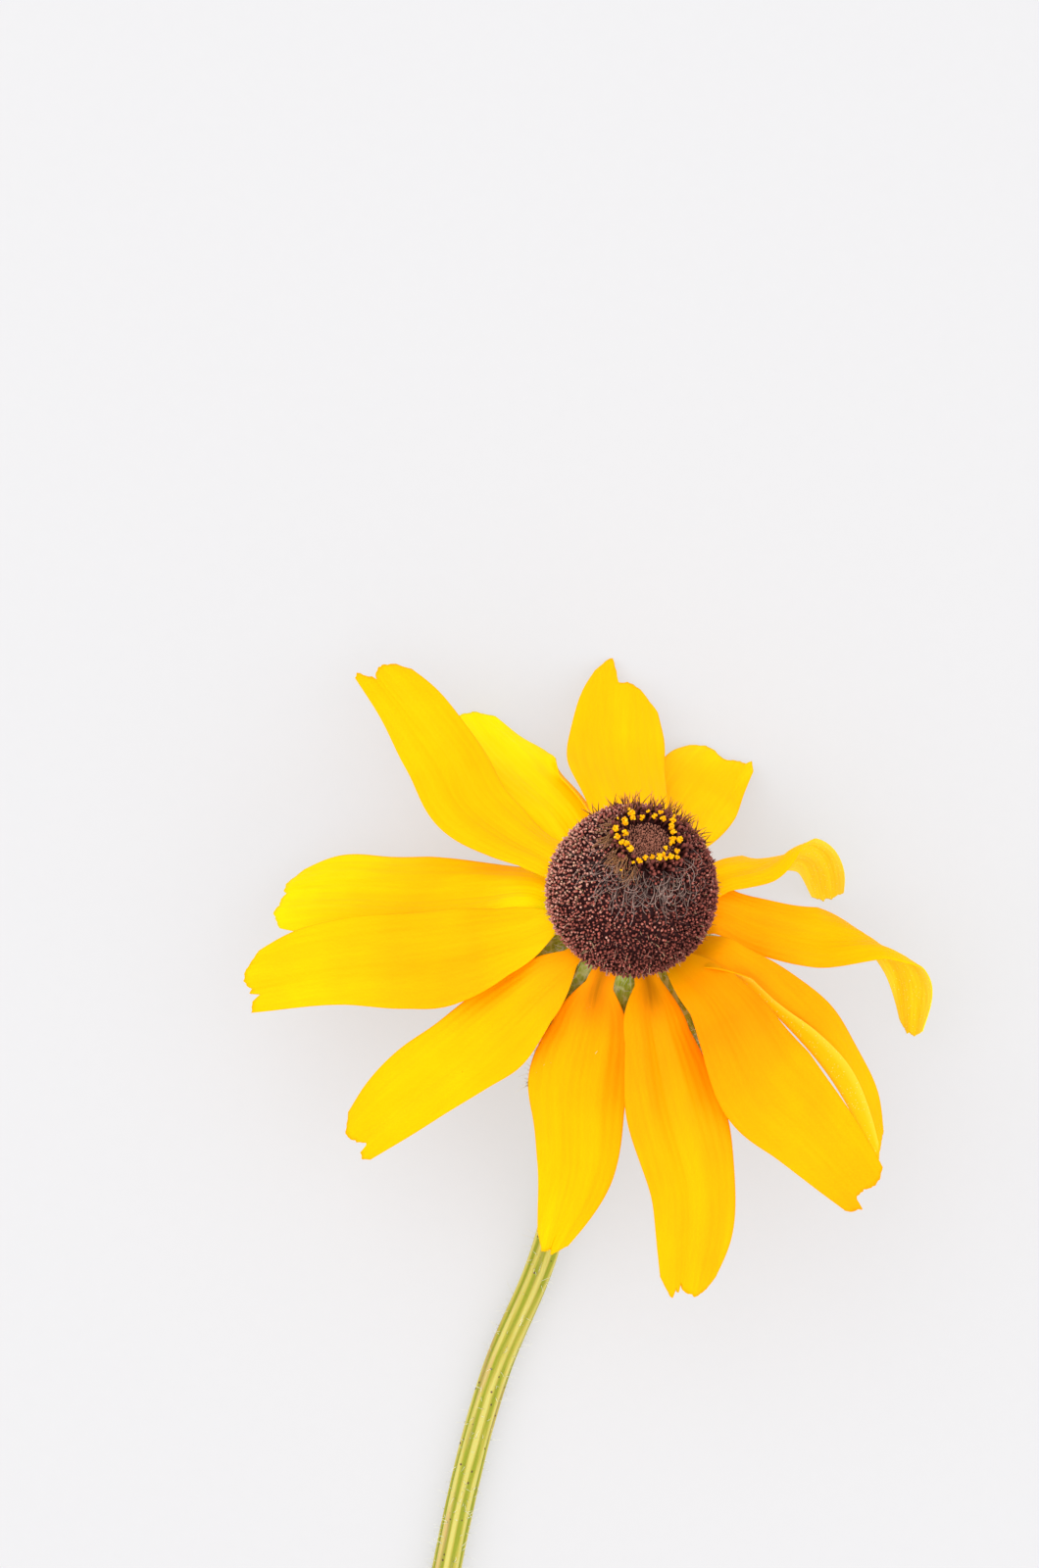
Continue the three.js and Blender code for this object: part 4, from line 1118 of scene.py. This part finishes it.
class FLOWER_OT_pollen(bpy.types.Operator):
    """Makes the ring of pollen clumps on the open florets."""

    bl_idname = "flower.pollen"
    bl_label = "Pollen"

    RING_SHIFT = np.array([-0.15, 0.0, 0.0])
    LOBES = 13

    def execute(self, context):
        sizes, colours = context.scene.flower_sizes, context.scene.flower_colours
        rng = np.random.default_rng(21)
        angle = math.degrees(math.atan2(ANTHER_RING_RADIUS, CONE_RADIUS))
        crest = CONE_MIDDLE + math.cos(math.radians(angle)) * (float(cone_reach(angle)) + ANTHER_LIFT)
        parts = []
        for azimuth, radius, size in CLUMPS:
            size = size * sizes.clump_size / MM
            height = crest - 0.3 * abs(radius - 3.3) + rng.uniform(-0.15, 0.1)
            middle = on_head(radius, azimuth, height) + DISC_SHIFT + self.RING_SHIFT
            for lobe in range(self.LOBES):
                stray = 0.36 * size * unit(rng.normal(size=3)) * (lobe > 0)
                parts.append(pollen_lobe(rng, middle + stray, 0.21 * size * rng.uniform(0.75, 1.3)))
        points, faces = gathered(parts)
        make_piece("pollen_clumps", points, faces, [pollen_finish(colours)], ["anther_ring"])
        return {"FINISHED"}


class FLOWER_OT_styles(bpy.types.Operator):
    """Makes the styles of the spent florets: forked ones that stand, golden ones that lean, curled ones."""

    bl_idname = "flower.styles"
    bl_label = "Styles"

    FORKED_HEIGHTS = [0.0, 0.35, 0.7, 1.0]
    FORKED_RADII = [0.06, 0.055, 0.042, 0.012]
    FORKED_FROM, FORKED_SPAN = 25.5, 36  # degrees from the head's axis
    FORKED_SIDES = 4
    LOW_SHARE = 0.75  # of the curled styles, those that lie below the eye
    STEPS = 12
    SIDES = 5

    def execute(self, context):
        sizes, colours = context.scene.flower_sizes, context.scene.flower_colours
        rng = np.random.default_rng(33)

        count = sizes.forked_count
        azimuth = np.repeat(rng.uniform(20, 134, count), 2)
        angle = np.repeat(self.FORKED_FROM + self.FORKED_SPAN * rng.uniform(0, 1, count) ** 1.15, 2)
        fork = square_to(outward(angle, azimuth), in_pairs(rng.normal(size=(count, 3))))
        fork = fork * rng.uniform(0.15, 0.6, (2 * count, 1))
        tall = np.repeat(rng.uniform(0.9, 1.8, count), 2)[:, None] * rng.uniform(0.85, 1.1, (2 * count, 1))
        points, faces = upright_threads(
            angle, azimuth, np.array([self.FORKED_HEIGHTS]) * tall + 0.2,
            np.array([self.FORKED_RADII]) * np.ones((2 * count, 1)), fork, self.FORKED_SIDES)
        finish = style_finish("style_dark", FORKED_ROOT, FORKED_TIP, FORKED_GOLD)
        make_piece("forked_styles", points, faces, [finish], fields=thread_fields(
            self.FORKED_HEIGHTS, self.FORKED_SIDES, 2 * count, gold=0.0, tint=rng.uniform(0, 1, 2 * count)))

        curled, golden = sizes.curled_count, sizes.golden_count
        low = rng.uniform(0, 1, curled) < self.LOW_SHARE
        azimuth = np.append(
            np.where(low, rng.normal(-98, 36, curled), rng.uniform(185, 330, curled)),
            rng.uniform(150, 252, golden))
        angle = np.append(
            np.where(low, rng.uniform(21, 45, curled), rng.uniform(24, 42, curled)),
            rng.uniform(20, 28, golden))
        heading = np.append(
            np.where(low, rng.normal(0, 24, curled), rng.normal(0, 60, curled)),
            rng.normal(8, 22, golden))
        length = np.append(rng.uniform(1.6, 3.2, curled), rng.uniform(1.0, 2.2, golden))
        turning = np.append(
            rng.choice([-1, 1], curled) * rng.uniform(10, 210, curled), rng.normal(0, 45, golden))
        start_lift = np.append(rng.uniform(0.1, 0.4, curled), rng.uniform(0.7, 1.3, golden))
        lift = np.append(rng.uniform(0.45, 0.8, curled), rng.uniform(0.45, 0.8, golden))
        count = curled + golden
        paths = curled_threads(rng, angle, azimuth, heading, length, turning, start_lift, lift, self.STEPS)
        radii = np.linspace(0.042, 0.03, self.STEPS)[None, :] * rng.uniform(0.8, 1.2, (count, 1))
        points, faces = threads(paths, radii, self.SIDES)
        gold = np.append(np.zeros(curled), rng.uniform(0.5, 1, golden))
        finish = style_finish(
            "style_grey", darker(colours.style_colour, 0.35), colours.style_colour, colours.style_gold)
        make_piece("curled_styles", points, faces, [finish], fields=thread_fields(
            np.linspace(0, 1, self.STEPS), self.SIDES, count, gold=gold, tint=rng.uniform(0.15, 0.95, count)))
        return {"FINISHED"}


class FLOWER_OT_involucre(bpy.types.Operator):
    """Makes the cup under the head with its ring of bracts and their hairs."""

    bl_idname = "flower.involucre"
    bl_label = "Involucre"

    ROWS = 22
    COLUMNS = 12
    THICKNESS = 0.4
    HAIR_RADIUS = 0.04
    MARGIN_HAIRS = 0.45  # share of the hairs
    CUP_SIDES = 48
    CUP_OUTLINE = [
        (0.4, -0.7), (4.5, -0.7), (5.0, -1.7), (5.7, -2.8), (CUP_RADIUS - 0.3, -CUP_TOP),
        (CUP_RADIUS - 0.4, -CUP_TOP - CUP_RIM), (CUP_RADIUS - 1.6, -CUP_TOP - CUP_RIM - 1.1),
        (CUP_NECK_RADIUS + 0.3, -CUP_TOP - CUP_DEPTH + 0.1), (CUP_NECK_RADIUS - 0.3, -CUP_TOP - CUP_DEPTH),
        (0.4, -CUP_TOP - CUP_DEPTH)]

    def execute(self, context):
        sizes, colours = context.scene.flower_sizes, context.scene.flower_colours
        rng = np.random.default_rng(55)
        turn = np.arange(self.CUP_SIDES) * 360 / self.CUP_SIDES
        ring = [on_head(radius + 0.08 * np.cos(np.radians(turn * len(BRACTS))) * (radius > 3), turn, height)
                for radius, height in self.CUP_OUTLINE]
        cup_points = np.vstack(ring)

        parts = [(cup_points, tube_faces(len(self.CUP_OUTLINE) - 1, self.CUP_SIDES))]
        across, share = [np.zeros(len(cup_points))], [np.full(len(cup_points), 0.3)]
        roots, ways, lengths = [], [], []
        each = sizes.bract_hairs // len(BRACTS)
        for azimuth, length, droop in BRACTS:
            grid, side, place = bract_grid(azimuth, length, droop, self.ROWS, self.COLUMNS)
            points, quads, _ = blade(grid, self.THICKNESS)
            parts.append((points, quads.tolist()))
            across.append(np.tile(side.reshape(-1), 2))
            share.append(np.tile(place.reshape(-1), 2))

            normal = sheet_normals(grid)
            ahead, sideways = (unit(way) for way in np.gradient(grid, axis=(0, 1)))
            row = rng.integers(1, self.ROWS + 1, each)
            column = np.where(
                rng.uniform(0, 1, each) < self.MARGIN_HAIRS,
                rng.choice([0, self.COLUMNS], each), rng.integers(0, self.COLUMNS + 1, each))
            face = rng.choice([-1.0, 1.0], each)[:, None]
            edge = np.where(column == 0, -1.0, np.where(column == self.COLUMNS, 1.0, 0.0))[:, None]
            roots.append(grid[row, column] + normal[row, column] * face * self.THICKNESS * 0.4)
            ways.append(unit(normal[row, column] * face * 0.3 + ahead[row, column] * 0.6
                             + sideways[row, column] * edge * 0.8 + rng.normal(size=(each, 3)) * 0.4))
            lengths.append(rng.uniform(0.5, 1.2, each) * sizes.hair_length / MM)
        points, faces = gathered(parts)
        make_piece("involucre_bracts", points, faces, [bract_finish(colours)], ["involucre"],
                   fields={"across": np.concatenate(across), "share": np.concatenate(share)})
        grow_hairs("bract_hairs", rng, np.vstack(roots), np.vstack(ways), np.concatenate(lengths),
                   self.HAIR_RADIUS)
        return {"FINISHED"}


class FLOWER_OT_stem(bpy.types.Operator):
    """Makes the ridged stem and its hairs."""

    bl_idname = "flower.stem"
    bl_label = "Stem"

    SIDES = 64
    STEPS = 220
    FINE_RIDGES = 21
    HAIR_SINK = 0.05  # how deep the hairs' roots stand in the stem

    def execute(self, context):
        sizes, colours = context.scene.flower_sizes, context.scene.flower_colours
        rng = np.random.default_rng(77)
        top_height = -CUP_TOP - CUP_DEPTH + 0.3
        top = on_head(0, 0, top_height)
        straight = on_head(0, 0, -CUP_TOP - CUP_DEPTH - GAP - STEM_STRAIGHT)
        curve, length = spine([top, straight, *np.array(STEM_PATH, float)], self.STEPS + 1)
        ahead, normal = carried(curve, HEAD_RIGHT)
        turn = np.linspace(0, 2 * math.pi, self.SIDES, endpoint=False)
        run = np.linspace(0, length, self.STEPS + 1)[:, None]
        wander = 0.25 * np.sin(run / 17)
        ridge = 0.5 + 0.5 * np.cos(STEM_RIDGES * (turn + wander))
        radius = (STEM_RADIUS - STEM_GROOVE * (1 - ridge ** 0.7)
                  + 0.03 * np.cos(self.FINE_RIDGES * turn + 0.6 * np.sin(run / 9))
                  + 0.02 * np.sin(run / 2.3 + 3 * turn))
        ring = rings(ahead, normal, self.SIDES)
        grid = curve[:, None] + radius[..., None] * ring
        grid[..., 2] = np.maximum(grid[..., 2], 0.0)
        points = grid.reshape(-1, 3)
        faces = tube_faces(self.STEPS, self.SIDES, flip=True)
        shape = (self.STEPS + 1, self.SIDES)
        make_piece("stem_body", points, faces, [stem_finish(colours)], ["stem"], fields={
            "ridge": ridge.reshape(-1),
            "along_mm": np.broadcast_to(run, shape).reshape(-1),
            "turn_mm": np.broadcast_to(turn * STEM_RADIUS, shape).reshape(-1),
        })

        count = sizes.stem_hairs
        row = rng.integers(4, self.STEPS - 1, count)
        column = rng.integers(0, self.SIDES, count)
        out = ring[row, column]
        ways = unit(out + ahead[row] * rng.uniform(-0.5, 0.2, (count, 1)) + rng.normal(size=(count, 3)) * 0.3)
        grow_hairs("stem_hairs", rng, grid[row, column] - out * self.HAIR_SINK, ways,
                   rng.uniform(0.5, 1.4, count) * sizes.hair_length / MM)
        return {"FINISHED"}


class FLOWER_PT_panel(bpy.types.Panel):
    """Lists the flower's sizes, colours and operators."""

    bl_idname = "FLOWER_PT_panel"
    bl_label = "Black Eyed Susan"
    bl_space_type = "VIEW_3D"
    bl_region_type = "UI"
    bl_category = "Flower"

    def draw(self, context):
        layout = self.layout
        for group in (context.scene.flower_sizes, context.scene.flower_colours):
            box = layout.box()
            for name in group.__annotations__:
                box.prop(group, name)
        for operator in OPERATORS:
            layout.operator(operator.bl_idname)


OPERATORS = (
    FLOWER_OT_stage, FLOWER_OT_rays, FLOWER_OT_disc, FLOWER_OT_pollen, FLOWER_OT_styles, FLOWER_OT_involucre,
    FLOWER_OT_stem,
)
CLASSES = (FlowerSizes, FlowerColours, *OPERATORS, FLOWER_PT_panel)


def register():
    for cls in CLASSES:
        bpy.utils.register_class(cls)
    bpy.types.Scene.flower_sizes = PointerProperty(type=FlowerSizes)
    bpy.types.Scene.flower_colours = PointerProperty(type=FlowerColours)


def unregister():
    del bpy.types.Scene.flower_colours
    del bpy.types.Scene.flower_sizes
    for cls in reversed(CLASSES):
        bpy.utils.unregister_class(cls)


def main():
    register()
    bpy.ops.flower.stage()
    bpy.ops.flower.rays()
    bpy.ops.flower.disc()
    bpy.ops.flower.pollen()
    bpy.ops.flower.styles()
    bpy.ops.flower.involucre()
    bpy.ops.flower.stem()


if __name__ == "__main__":
    main()
